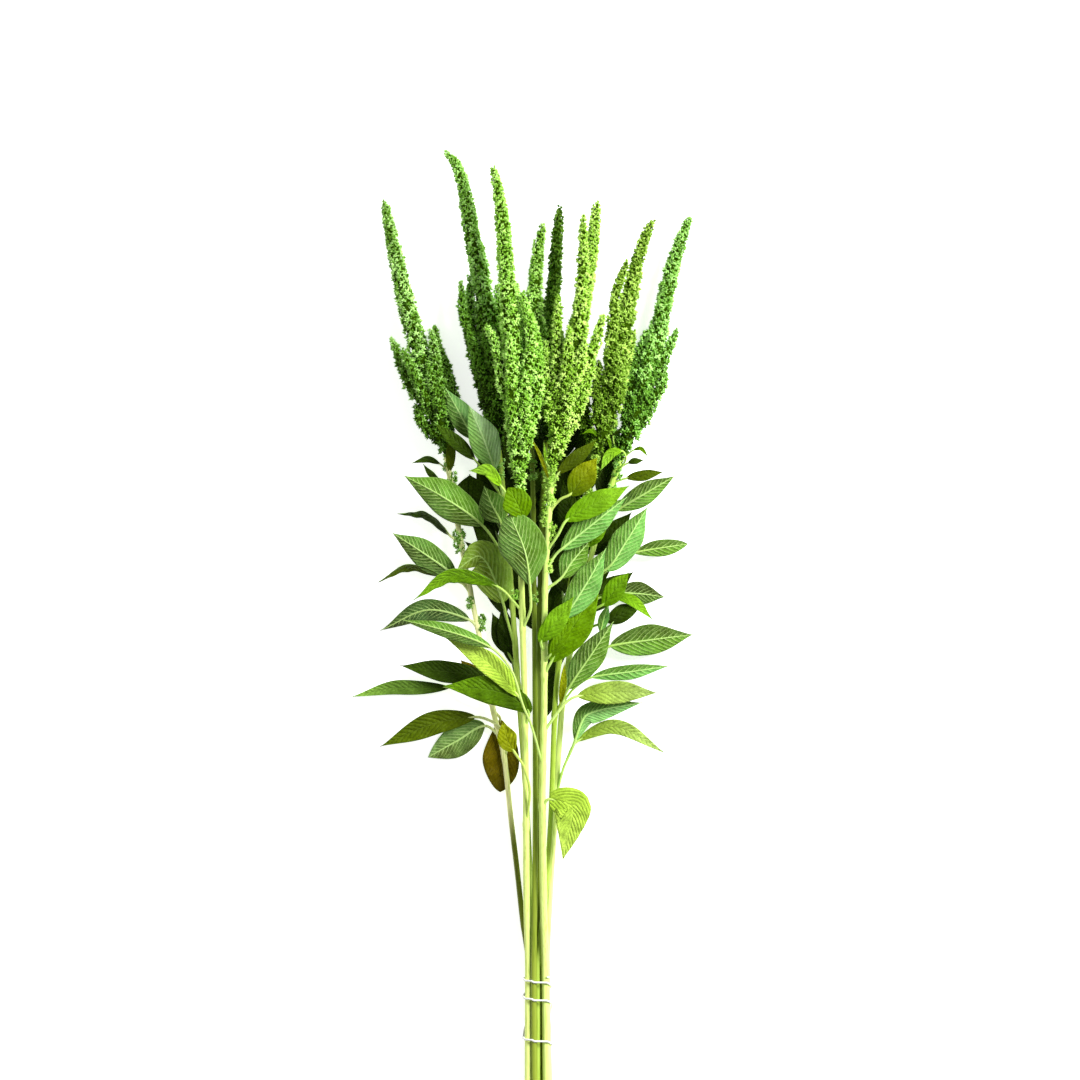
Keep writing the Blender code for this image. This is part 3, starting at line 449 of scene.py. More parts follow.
# %% Leaves
# One row for each leaf: name, pixel y of its node on the stem, greatest width in mm, roll about
# its midrib in degrees (positive lifts its right side), colour, fold along the midrib (positive is
# a trough, seen from above), waviness of the rim, then places along it as in the stems. The last
# three are on the blade, from base to tip, and any before them are bends of the petiole
LEAVES = {1: [
    ("left 2", 545, 14, 78, "dark", 0.2, 0.5, (449, 535, 15), (421, 514, 17), (397, 514, 15)),
    ("left 3", 592, 23.5, 0, "under dark", -0.16, 0.5, (456, 577, 15), (423, 553, 20), (391.5, 532.5, 21)),
    ("left 4", 586, 13, 76, "olive", 0.2, 0.5, (441, 576, 15), (410, 567, 15), (378, 582.5, 13)),
    ("left 8", 627, 18.5, 0, "under deep", -0.14, 0.5, (470, 620.5, 13), (431, 610, 17), (380, 630.6, 13)),
    ("left 11", 684, 18.5, 0, "dark", 0.16, 0.5, (485, 677.6, 12), (440, 671, 15), (399.6, 665.8, 12)),
    ("left 12", 705, 12.6, 0, "pale tip", 0.12, 0.5, (470, 697, 7), (450, 688, 5), (400, 688, 4.5),
     (349.7, 697.5, 4)),
    ("left 14", 757, 20, 0, "olive", 0.16, 0.7, (508, 745, 9), (501.5, 729, 12), (476, 717.3, 14),
     (441, 722, 14), (379.7, 747, 10)),
    ("left 15", 736, 27, 0, "under grey", -0.1, 0.6, (485.3, 726.5, 6), (456, 742, 4.5), (427.7, 758, 3.5)),
    ("left 16", 712, 31, 0, "brown", 0.14, 1.0, (500, 719, 5), (501.5, 755, 3.2), (500, 793, 3)),
    ("left 19", 690, 12, 0, "brown", 0.12, 0.5, (482, 684, 7), (473, 674, 6), (460, 660, 6)),
    ("upper 4", 483, 8.4, 0, "olive", 0.16, 0.6, (449.5, 472, 21), (451, 452, 28), (451.5, 431.7, 32)),
    ("upper 5", 472, 7, 50, "dark", 0.16, 0.5, (440, 464, 18), (427, 459, 19), (412, 463, 18)),
    ("upper 6", 490, 6, 40, "dark", 0.16, 0.5, (440, 481, 16), (431, 474, 17), (423, 464, 16)),
], 2: [
    ("left 1", 577, 30, 0, "under green", -0.2, 0.5, (497.6, 546.7, 22), (483, 526, 26), (443, 497, 30),
     (403.5, 475.5, 28)),
    ("left 6", 649, 33.6, 0, "under olive", -0.14, 0.6, (507, 619, 20), (503, 603, 25), (478, 556, 35),
     (457, 570, 33)),
    ("left 18", 667, 16, 0, "shade", 0.12, 0.5, (509, 655, 9), (500, 633, 6.5), (492, 613, 6)),
    ("upper 1", 507, 20, 0, "under soft", -0.12, 0.4, (490, 470, 25), (475, 440, 28), (460, 414, 29),
     (445.4, 388, 27)),
    ("upper 2", 497, 26, 0, "under pale", -0.14, 0.4, (495, 469, 31), (483, 437, 41), (468.5, 405, 42)),
    ("upper 3", 500, 11.8, 0, "dark", 0.14, 0.6, (475, 460, 34), (455, 441, 37), (434.5, 423, 36)),
    ("upper 8", 552, 24, 0, "under moss", 0.12, 0.5, (501, 523, 22), (492, 505, 27), (484, 486, 28)),
], 3: [
    ("left 5", 611, 15, 45, "fresh", 0.1, 0.5, (497.6, 586.5, 48), (456.7, 575, 48), (413.4, 600, 42)),
    ("left 7", 629, 39, 0, "under moss", -0.1, 0.4, (531, 605, 54), (530, 586, 58), (527, 560, 62),
     (510, 514, 60)),
    ("left 10", 707, 18.5, 0, "pale lime", 0.12, 1.0, (519, 697, 38), (485, 660, 41), (445.5, 637.8, 36)),
    ("left 13", 726, 23.5, 0, "grass", 0.1, 0.9, (529, 714, 38), (492, 690, 37), (442.4, 685.7, 31)),
    ("left 17", 825, 16.8, 0, "gold", 0.25, 1.4, (529.7, 792, 33), (524, 767, 40), (514, 751, 43),
     (507, 738, 44), (503, 721, 43)),
    ("upper 7", 517, 11, 20, "lime", 0.12, 0.5, (501.6, 486.5, 53), (485, 470, 50), (469, 471, 46)),
    ("upper 9", 547, 24.5, 0, "deep", 0.12, 0.5, (522, 519, 59), (517, 503, 64), (508, 488, 64)),
], 4: [
    ("upper 10", 512, 13.5, 0, "dark", 0.14, 0.5, (528, 498, 31), (533, 483, 29), (539, 468, 27)),
], 5: [
    ("back 1", 640, 18, 0, "shade", 0.12, 0.5, (534, 625, 6), (520, 600, 5), (508, 575, 4.5)),
    ("back 2", 560, 20, 0, "shade", 0.12, 0.5, (553, 546, 9), (566, 522, 8), (578, 496, 8)),
    ("back 3", 735, 16, 0, "shade", 0.12, 0.5, (545, 718, 5), (549, 690, 4), (551, 655, 4)),
], 6: [
    ("left 9", 767, 12.6, 0, "under green", -0.14, 0.8, (531, 724, 45), (523, 705, 47), (513, 673, 48),
     (492, 648, 48), (441, 629, 46), (400.6, 619.4, 40)),
    ("right 3", 512, 21.8, 0, "yellow tip", 0.14, 0.5, (561, 499, 60), (569.5, 495, 62), (583, 477, 64),
     (597, 458, 60)),
    ("right 4", 551, 20, 0, "fresh", 0.12, 1.1, (558, 534.7, 57), (565.4, 521.4, 60), (597, 503, 61),
     (629, 486, 54)),
    ("right 5", 571, 21.8, 0, "under mint", -0.14, 0.5, (557, 553, 52), (561, 549.6, 54), (594, 523, 54),
     (627, 497, 48)),
    ("right 6", 642, 25, 0, "under mint", -0.1, 0.5, (555.4, 623, 48), (562, 618, 50), (586, 584, 53),
     (606, 548, 50)),
    ("right 13", 732, 19.3, 0, "parched", 0.12, 1.2, (556, 714.4, 40), (568.7, 700, 42), (577, 696, 43),
     (617, 692, 42), (657.8, 692.7, 36)),
    ("right 16", 806, 30, 0, "pale lime", 0.12, 0.8, (549, 799, 33), (573, 808, 38), (562.7, 860, 30)),
    ("right 17", 674, 30, 0, "deep", 0.12, 0.5, (551, 662, 45), (575, 623, 49), (600.6, 583, 46)),
    ("right 23", 662, 11.8, 0, "deep", 0.14, 0.5, (550, 655, 50), (561, 638, 54), (572.8, 619, 54)),
    ("right 24", 652, 17.5, 0, "fresh", 0.14, 0.5, (541, 643, 49), (557, 620, 56), (574, 596, 56)),
    ("right 19", 590, 21, 0, "under lime", -0.12, 0.9, (561, 578, 50), (571, 563, 49), (588, 543, 46)),
    ("upper 12", 488, 11.8, 0, "olive", 0.14, 0.6, (558, 474, 62), (578, 457, 61), (597, 440, 58)),
], 7: [
    ("right 25", 582, 25, 0, "under mint", -0.16, 0.5, (605, 570, 36), (627, 540, 37), (647.5, 507, 31)),
    ("right 9", 608, 10, 30, "fresh", 0.25, 0.4, (609, 594.6, 36), (630, 600, 39), (652.9, 619.6, 35)),
    ("right 26", 618, 17, 0, "bright", 0.14, 0.5, (602, 605, 38), (616, 588, 41), (629, 572, 41)),
    ("right 11", 716, 23.5, 0, "under moss", -0.14, 0.5, (568, 689.3, 27), (591, 655, 30),
     (613.6, 621.4, 28)),
    ("right 18", 560, 9.2, 0, "bright", 0.14, 0.5, (587.7, 547, 37), (598, 535, 41), (609, 523.4, 42)),
    ("right 20", 602, 11.8, 0, "olive", 0.14, 0.5, (571, 592, 33), (579, 573, 38), (588, 550, 38)),
    ("right 21", 714, 6, 0, "gold", 0.3, 1.5, (560, 704, 25), (563, 684, 30), (564.5, 662, 31)),
], 8: [
    ("right 1", 483, 9.2, 0, "olive", 0.14, 0.6, (626, 478.3, 19), (645, 475, 19), (664, 471.8, 16)),
    ("right 2", 522, 18.5, 0, "under green", -0.16, 0.5, (616.7, 510.4, 20), (646, 493, 26),
     (675.6, 475.6, 25)),
    ("right 7", 590, 14.3, 0, "under green", -0.14, 0.5, (608, 570, 16), (633.6, 553.2, 18), (661, 548, 19),
     (687.9, 544, 16)),
    ("right 8", 612, 20, 0, "under dark", -0.12, 0.5, (595, 600, 12), (613.6, 593, 11), (640, 594, 10),
     (665.4, 597.3, 8)),
    ("right 27", 640, 15, 0, "dark", 0.14, 0.5, (590, 628, 7), (606, 622, 5), (624, 613, 4), (642, 606, 4)),
    ("right 10", 672, 26, 0, "under green", -0.1, 0.5, (588, 656, 13), (610, 646.4, 15), (652, 640, 15),
     (694, 634.8, 11)),
    ("right 12", 703, 12.6, 0, "under mint", -0.16, 0.5, (575, 688, 13), (591.3, 677.7, 16), (631, 672, 18),
     (670.7, 666, 14)),
    ("right 14", 797, 18.5, 0, "under soft", -0.14, 0.9, (563.3, 769.4, 14), (573, 747, 20), (575, 741, 22),
     (586.8, 715, 26), (643, 702.5, 22)),
    ("right 15", 787, 12.6, 0, "parched", 0.14, 1.3, (565, 765, 11), (572, 748, 13), (577, 742, 14),
     (611.8, 727, 17), (667, 754.3, 12)),
    ("upper 14", 474, 8.4, 0, "lime", 0.16, 0.6, (626, 458, 30), (622, 451, 35), (613.7, 452, 38),
     (600, 470.6, 35)),
    ("upper 15", 472, 6, 30, "dark", 0.16, 0.6, (628, 463, 20), (635, 461, 21), (643.5, 460.3, 20)),
]}
# Seven small leaves that the solid model is too coarse for
SMALL_LEAVES = {6: [
    ("curl", 486, 3.4, 20, "gold", 0.2, 0.5, (549, 480, 61), (541, 458, 67), (530, 436, 66)),
    ("sliver", 470, 2.4, 10, "lime", 0.2, 0.5, (546, 462, 61), (545, 453, 64), (544, 443, 65)),
], 7: [
    ("arch", 450, 3.6, 10, "bright", 0.2, 0.5, (598, 438, 46), (590, 431, 48), (582, 434, 47)),
    ("hook", 447, 3.0, 0, "bright", 0.2, 0.5, (606, 434, 46), (609, 441, 48), (611, 451, 47)),
], 8: [
    ("high arch", 466, 3.6, 20, "deep", 0.2, 0.5, (633.6, 450, 23), (640, 448.4, 25), (648, 456.5, 24)),
    ("high dark", 463, 3.4, 20, "dark", 0.2, 0.5, (613, 436, 22), (621, 431, 23), (631, 430, 22)),
    ("low mint", 652, 9, 0, "under mint", 0.1, 0.5, (600, 632, 15), (604, 618, 16), (609, 604, 16)),
]}
# Thirty-five plain leaves in the near-black shade colour, painted shade that fills the dark middle of the
# bunch: pixel y, width and blade
DARK_LEAVES = {1: [
    (524, 14, (458, 507, 11), (463, 491, 10), (470, 474, 9)),
], 2: [
    (590, 18, (499, 565, 12), (486, 537, 11), (470, 520, 10)),
    (606, 15, (502, 580, 10), (482, 556, 9), (464, 541, 8)),
    (520, 16, (500, 505, 14), (497, 485, 13), (487, 462, 12)),
    (560, 20, (497, 535, 12), (484, 505, 12), (474, 478, 12)),
    (640, 18, (505, 615, 10), (496, 590, 9), (480, 566, 8)),
    (500, 22, (499, 480, 15), (494, 455, 14), (487, 420, 13)),
    (690, 16, (513, 665, 9), (507, 635, 8), (502, 602, 8)),
    (530, 24, (500, 505, 16), (501, 470, 16), (504, 400, 15)),
    (530, 20, (499, 505, 11), (489, 480, 10), (478, 452, 9)),
    (545, 23, (497, 522, 13), (485, 502, 12), (469, 474, 11)),
], 4: [
    (500, 22, (529, 487, 22), (518, 463, 20), (504, 425, 18)),
], 5: [
    (610, 22, (534, 578, 8), (527, 545, 8), (522, 507, 8)),
    (570, 16, (539, 540, 8), (534, 512, 8), (529, 482, 8)),
    (700, 16, (546, 680, 6), (556, 655, 6), (566, 628, 6)),
    (505, 15, (549, 487, 9), (558, 465, 9), (567, 445, 9)),
    (540, 24, (550, 515, 8), (566, 485, 8), (582, 440, 8)),
    (560, 24, (538, 530, 7), (519, 495, 7), (508, 452, 7)),
    (650, 26, (534, 630, 6), (516, 590, 6), (500, 540, 6)),
    (480, 26, (551, 465, 10), (564, 435, 10), (581, 390, 10)),
    (660, 17, (545, 640, 7), (554, 610, 7), (558, 572, 7)),
    (500, 20, (546, 482, 9), (543, 450, 9), (540, 405, 9)),
    (530, 17, (541, 512, 8), (539, 490, 8), (538, 455, 8)),
    (590, 20, (549, 562, 8), (557, 532, 8), (566, 494, 8)),
    (575, 18, (558, 545, 7), (568, 516, 7), (582, 486, 7)),
], 7: [
    (570, 20, (574, 545, 17), (570, 515, 16), (563, 480, 15)),
    (622, 18, (563, 595, 14), (560, 570, 13), (563, 542, 12)),
    (660, 18, (572, 640, 12), (584, 618, 11), (600, 596, 10)),
    (520, 20, (584, 495, 20), (590, 470, 20), (602, 435, 20)),
    (520, 18, (584, 500, 17), (583, 470, 16), (585, 420, 16)),
], 8: [
    (548, 16, (600, 528, 8), (607, 506, 8), (616, 484, 8)),
    (612, 18, (588, 590, 7), (600, 568, 7), (613, 545, 7)),
    (520, 22, (602, 500, 7), (608, 470, 7), (617, 425, 7)),
    (575, 20, (590, 556, 7), (612, 535, 6), (632, 512, 6)),
    (630, 22, (586, 612, 6), (610, 590, 5), (634, 572, 5)),
]}
print(len(STEMS), "stems,", sum(len(spikes) for _, _, spikes in HEADS.values()), "side spikes,",
      sum(len(leaves) for leaves in LEAVES.values()), "leaves and",
      sum(len(more) for table in (DARK_LEAVES, SMALL_LEAVES) for more in table.values()), "small ones")

# %% [markdown]
# ## Shader pieces that several finishes share
# A node group is built once and placed in each material with its own values. The first gives
# plant surfaces their soft mottling, a slow change of tone with a fine grain on top. The second draws
# a leaf's veins from its own map, where the first number runs across the blade and the second
# counts the side veins from base to tip, and gives the painted shade of the puffed panels between
# them. Nodes are many and their calls long, so a small class gives the few kinds used here short
# names, and the tree at hand is called n in each cell.

# %% Short names for nodes
class Nodes:
    """A shader tree whose nodes are added with their inputs linked or set."""

    def __init__(self, tree):
        self.tree = tree

    def add(self, kind, inputs=None, **settings):
        node = self.tree.nodes.new("ShaderNode" + kind)
        for name, value in settings.items():
            setattr(node, name, value)
        for key, given in (inputs or {}).items():
            if isinstance(given, bpy.types.NodeSocket):
                self.tree.links.new(given, node.inputs[key])
            else:
                node.inputs[key].default_value = given
        return node

    def math(self, operation, *given):
        return self.add("Math", dict(enumerate(given)), operation=operation).outputs[0]

    def times(self, first, second):
        return self.math("MULTIPLY", first, second)

    def times_plus(self, first, factor, more):
        return self.math("MULTIPLY_ADD", first, factor, more)

    def step(self, source, low, high):
        """0 below low, 1 above high, and a soft ramp between."""
        inputs = {"Value": source, "From Min": low, "From Max": high}
        return self.add("MapRange", inputs, interpolation_type="SMOOTHSTEP").outputs["Result"]

    def mix(self, share, first, second, blend="MIX"):
        """Two colours mixed by a share; each is a socket or a plain colour."""
        inputs = {0: share}
        for key, given in ((6, first), (7, second)):
            inputs[key] = (*given, 1) if isinstance(given, tuple) else given
        return self.add("Mix", inputs, data_type="RGBA", blend_type=blend).outputs[2]

    def noise(self, vector, scale, detail=2.0):
        inputs = {"Vector": vector, "Scale": scale, "Detail": detail}
        return self.add("TexNoise", inputs).outputs["Fac"]

    def group(self, group, inputs):
        """A group placed in this tree; its outputs by name."""
        node = self.tree.nodes.new("ShaderNodeGroup")
        node.node_tree = group
        for label, given in inputs.items():
            if isinstance(given, float):
                node.inputs[label].default_value = given
            else:
                self.tree.links.new(given, node.inputs[label])
        return node.outputs


class Finish(Nodes):
    """A material with its Principled shader, and the object's own coordinates."""

    def __init__(self, name, roughness, specular=0.5):
        self.material = bpy.data.materials.new(name)
        self.material.use_nodes = True
        super().__init__(self.material.node_tree)
        self.shader = self.tree.nodes["Principled BSDF"]
        self.shader.inputs["Roughness"].default_value = roughness
        self.shader.inputs["Specular IOR Level"].default_value = specular
        self.position = self.add("TexCoord").outputs["Object"]

    def tint(self):
        """The colour and the fourth number that each piece keeps in its points."""
        return self.add("Attribute", attribute_name="tint").outputs

    def show(self, base, height, strength, distance):
        """Drive the base colour, and the bump by a height."""
        self.tree.links.new(base, self.shader.inputs["Base Color"])
        inputs = {"Height": height, "Strength": strength, "Distance": distance}
        self.tree.links.new(self.add("Bump", inputs).outputs[0], self.shader.inputs["Normal"])


def new_group(name, inputs, outputs):
    """An empty node group with named sockets, and its two ends."""
    group = bpy.data.node_groups.new(name, "ShaderNodeTree")
    for label, start in inputs.items():
        kind = "NodeSocketVector" if start is None else "NodeSocketFloat"
        socket = group.interface.new_socket(label, in_out="INPUT", socket_type=kind)
        if start is not None:
            socket.default_value = start
    for label in outputs:
        group.interface.new_socket(label, in_out="OUTPUT", socket_type="NodeSocketFloat")
    ends = group.nodes.new("NodeGroupInput"), group.nodes.new("NodeGroupOutput")
    return group, Nodes(group), ends[0].outputs, ends[1].inputs


# %% Mottling group
mottling, n, given, result = new_group(
    "plant mottling", {"Position": None, "Patch Scale": 60.0, "Grain Scale": 1500.0},
    ["Patches", "Grain"])
patches = n.noise(given["Position"], given["Patch Scale"], 3.0)
mottling.links.new(n.step(patches, 0.3, 0.7), result["Patches"])
mottling.links.new(n.noise(given["Position"], given["Grain Scale"]), result["Grain"])
print("group:", mottling.name)

# %% Leaf vein group
# The map's second number is whole along every side vein of the right half
veins, n, given, result = new_group(
    "leaf veins", {"Blade": None, "Position": None, "Vein Width": 0.2},
    ["Midrib", "Side Veins", "Painted Panel Shade", "Net", "Rim", "Height"])
split = n.add("SeparateXYZ", {0: given["Blade"]}).outputs
off_centre = n.math("SUBTRACT", split["X"], 0.5)
across = n.times(n.math("ABSOLUTE", off_centre), 2.0)
alternate = n.times(n.math("LESS_THAN", off_centre, 0.0), 0.5)
waver = n.times(n.noise(given["Position"], 60.0, 1.0), 0.9)
count = n.math("ADD", n.math("ADD", split["Y"], alternate), waver)
past_vein = n.math("FRACT", count)
from_vein = n.math("ABSOLUTE", n.math("SUBTRACT", past_vein, 0.5))
# Painted shade: each panel between two side veins is lit near one vein and shaded towards the next, as if
# its puff caught the light on one side
swell = n.times(n.math("SUBTRACT", past_vein, 0.57), TURN)
reach = n.times(given["Vein Width"], n.math("SUBTRACT", 1.15, across))
near = n.math("SUBTRACT", 1.0, n.math("DIVIDE", from_vein, reach))
side_veins = n.step(near, 0.0, 0.8)
midrib = n.step(n.math("SUBTRACT", 0.06, across), 0.0, 0.05)
net_map = n.add("CombineXYZ", {"X": n.times(across, 5.0), "Y": n.times(count, 3.2)}).outputs[0]
cells = n.add("TexVoronoi", {"Scale": 1.0, "Vector": net_map}, feature="DISTANCE_TO_EDGE")
net = n.math("SUBTRACT", 1.0, n.step(cells.outputs["Distance"], 0.0, 0.16))
height = n.math("ADD", n.math("MAXIMUM", side_veins, midrib), n.times(net, 0.25))
height = n.math("SUBTRACT", height, n.times(n.step(from_vein, 0.0, 0.5), 0.7))
found = {"Midrib": midrib, "Side Veins": side_veins, "Net": net, "Height": height,
         "Painted Panel Shade": n.times_plus(n.math("COSINE", swell), 0.5, 0.5),
         "Rim": n.step(across, 0.93, 1.0)}
for label, source in found.items():
    veins.links.new(source, result[label])
print("group:", veins.name)

# %% [markdown]
# ## Finishes
# Every blade keeps its colour in an attribute named tint, an underside with one half in painted
# light and the other in painted shade, and the fourth number says whether a face is the underside,
# where the veins stand out pale, or the top, where they only show as shallow lines. The blade
# finish adds painted shade in the panels between the side veins and in the hollows of its crinkle,
# and a painted mint sheen on undersides. The stalks are paler, with fine streaks that run along them.

# %% Leaf blade finish
PALE_VEIN = colour(206, 238, 146)
# An underside's pale mint, used as a painted sheen
MINT_SHEEN = colour(130, 204, 112)
n = leaf_finish = Finish("leaf blade", 0.45, 0.05)
own = n.tint()
under = own["Alpha"]
blade_map = n.add("UVMap", uv_map="UVMap").outputs["UV"]
spots = n.group(mottling, {"Position": n.position, "Patch Scale": 45.0, "Grain Scale": 1400.0})
lines = n.group(veins, {"Blade": blade_map, "Position": n.position, "Vein Width": 0.14})
darker = n.mix(1.0, own["Color"], (0.50, 0.52, 0.32), "MULTIPLY")
lighter = n.mix(1.0, own["Color"], (1.35, 1.3, 1.25), "MULTIPLY")
# Painted shade of the panels between side veins, stronger on an underside, mixed with the mottling into the
# blade's colour
panel_shade = n.times(n.math("SUBTRACT", lines["Painted Panel Shade"], 0.5), n.times_plus(under, 0.35, 0.18))
mottle_and_panel_share = n.times_plus(spots["Patches"], 0.5, n.math("ADD", panel_shade, 0.3))
tissue_with_shade = n.mix(mottle_and_panel_share, darker, lighter)
# Painted sheen: mint patches over an underside's paler green, as if its down caught the light
tissue_with_shade = n.mix(n.times(n.times(spots["Patches"], under), 0.2), tissue_with_shade, MINT_SHEEN)
tissue_with_shade = n.mix(n.times(spots["Grain"], 0.4), tissue_with_shade, darker)
# Painted shade: the hollows of the crinkle, which also drives the bump, are darkened
crinkle = n.noise(n.position, 380.0)
hollow_shade = n.times(n.step(crinkle, 0.62, 0.42), n.times_plus(under, -0.22, 0.34))
tissue_with_shade = n.mix(hollow_shade, tissue_with_shade, darker)
# How strongly each kind of line is drawn: more by so much on an underside, and so much on a top
marks = [n.times(lines[label], n.times_plus(under, more, least)) for label, more, least in (
    ("Side Veins", 0.42, 0.25), ("Net", 0.13, 0.04), ("Midrib", 0.45, 0.35), ("Rim", 0.2, 0.15))]
marked = functools.reduce(lambda first, second: n.math("MAXIMUM", first, second), marks)
pale = n.mix(n.times_plus(under, 0.75, 0.1), lighter, PALE_VEIN)
n.tree.links.new(n.times_plus(under, 0.2, 0.4), n.shader.inputs["Roughness"])
folds = n.times_plus(crinkle, 1.8, lines["Height"])
n.show(n.mix(marked, tissue_with_shade, pale), n.times(folds, n.times_plus(under, 2.0, -1.0)), 0.8, 0.0007)

# %% Stalk finish
n = stalk_finish = Finish("stalk skin", 0.42, 0.25)
own = n.tint()["Color"]
stretch = n.add("Mapping", {"Vector": n.position, "Scale": (1.0, 0.045, 1.0)}).outputs["Vector"]
streaks = n.noise(stretch, 1100.0, 3.0)
spots = n.group(mottling, {"Position": n.position, "Patch Scale": 30.0, "Grain Scale": 900.0})
deep = n.mix(1.0, own, (0.62, 0.68, 0.38), "MULTIPLY")
skin = n.mix(n.step(streaks, 0.26, 0.5), deep, own)
n.show(n.mix(n.times(spots["Patches"], 0.2), skin, deep), streaks, 0.3, 0.0004)

# %% Cut end finish
n = cut_finish = Finish("cut pith", 0.75)
pith = n.noise(n.position, 1800.0)
n.show(n.mix(pith, colour(225, 232, 180), colour(170, 185, 110)), pith, 0.4, 0.0003)
print("finishes:", leaf_finish.material.name, stalk_finish.material.name, cut_finish.material.name)

# %% [markdown]
# ## Stems
# An amaranth stem is round and shallowly grooved, thicker at the foot, with a slight swelling
# where each leaf leaves it, and it was cut square. It could be a curve with a bevel, but a tube
# cut into levels lets each swelling and groove be shaped, so one tube is modelled and every stem
# is a copy of it, wrapped along its own route. More levels go where the leaves are.

# %% Stem blank
STEM_SIDES = 20
STEM_LEVELS = 90
CUT_INSET = 0.22
GROOVES = 7
GROOVE_DEPTH = 0.045
NODE_SWELLING = 0.16
NODE_REACH = 3.2 * MM
NODE_CROWDING = 6

stem_blank = upright_tube("stem blank", STEM_SIDES, STEM_LEVELS, stalk_finish.material,
                          cut_finish.material, inset=CUT_INSET)
print("stem blank:", triangles_in(stem_blank), "triangles")

# %% One stem per stalk
# Colour of each stalk at its foot and at its head, as in the photograph
STALK_TINTS = {
    1: ((110, 122, 24), (255, 255, 186)), 2: ((214, 236, 128), (160, 190, 70)),
    3: ((236, 252, 150), (205, 232, 116)), 4: ((150, 168, 54), (106, 128, 26)),
    5: ((120, 136, 30), (90, 112, 16)), 6: ((232, 250, 146), (206, 234, 124)),
    7: ((180, 206, 84), (146, 176, 50)), 8: ((250, 255, 175), (186, 222, 92)),
}
# Stalk 1 changes from one to the other over a short way, as shares of its length
TINT_TURNS = {1: (0.40, 0.46)}
# The fill leaves and the back leaves take the near-black shade colour, painted shade deep in the bunch
BACK_LEAF_LOOK = ("shade", 0.1, 0.5)
stem_routes = {number: trail(points) for number, (_, points) in STEMS.items()}


def stem_radius(number, share):
    low, high = STEMS[number][0]
    return (low + (high - low) * share) * MM


def leaves_of(number):
    """All leaf rows of a stalk; the dark ones have one look, and no roll."""
    dark = [("dark", pixel_y, width, 0, *BACK_LEAF_LOOK, *points)
            for pixel_y, width, *points in DARK_LEAVES.get(number, [])]
    return LEAVES[number] + dark + SMALL_LEAVES.get(number, [])


def bump_at(node, distances):
    """1 at a leaf's node, fading to 0 on both sides of it."""
    return np.exp(-((distances - node) / NODE_REACH) ** 2)


def level_distances(route, nodes):
    """Even levels, drawn together near each leaf so that its swelling has points."""
    crowd = np.linspace(0, route.length, 2000)
    weight = np.ones_like(crowd)
    for node in nodes:
        weight += NODE_CROWDING * bump_at(node, crowd)
    reached = np.concatenate([[0.0], np.cumsum((weight[1:] + weight[:-1]) / 2)])
    return np.interp(np.linspace(0, reached[-1], STEM_LEVELS + 1), reached, crowd)


def make_stem(number):
    route = stem_routes[number]
    nodes = [route.at_photo_height(leaf[1]) for leaf in leaves_of(number)]
    distances = level_distances(route, nodes)
    share = distances / route.length
    radii = stem_radius(number, share)
    for node in nodes:
        radii = radii * (1 + NODE_SWELLING * bump_at(node, distances))
    wander = 1.2 * np.sin(distances * 9 + rng.uniform(0, 6))
    grooved = lambda angle, level: 1 + GROOVE_DEPTH * np.sin(GROOVES * angle + wander[level])
    body, flat = own_copy(stem_blank, f"stem_{number}")
    move_points(body, wrap(flat, route.frames(distances), radii, grooved))
    turned = np.interp(share, TINT_TURNS.get(number, (0.0, 1.0)), (0.0, 1.0))
    foot, top = STALK_TINTS[number]
    paint(body.data, blended(foot, top, turned[level_of(flat[:, 2], STEM_LEVELS)]))
    stands_for(body, f"stalk_{number}")
    return body


stems = [make_stem(number) for number in STEMS]
print("stems:", len(stems), "with", triangles_in(*stems), "triangles")

# %% [markdown]
# ## Leaves
# An amaranth leaf is an oval blade with a drawn-out tip, folded a little along its midrib, puffed
# between its side veins and wavy at its rim. One flat blade is modelled as a grid and thickened.
# Each leaf is a copy bent along its own route, so the leaves share one clean mesh but none has
# the same form. Its petiole is a thin tube that runs on under the blade as the midrib.

# %% Blade and petiole blanks
BLADE_ACROSS = 12
BLADE_ALONG = 40
BLADE_HALF_THICKNESS = 0.22 * MM
PETIOLE_SIDES = 7
PETIOLE_LEVELS = 32

choose()
bpy.ops.mesh.primitive_grid_add(x_subdivisions=BLADE_ACROSS, y_subdivisions=BLADE_ALONG, size=2)
blade_blank = named("blade blank")
thicken = blade_blank.modifiers.new("thickness", "SOLIDIFY")
thicken.thickness = 2.0
thicken.offset = 0.0
bpy.ops.object.modifier_apply(modifier=thicken.name)
smooth(blade_blank)
blade_blank.data.materials.append(leaf_finish.material)
petiole_blank = upright_tube("petiole blank", PETIOLE_SIDES, PETIOLE_LEVELS, stalk_finish.material)
print("blade:", triangles_in(blade_blank), "triangles, petiole:", triangles_in(petiole_blank))

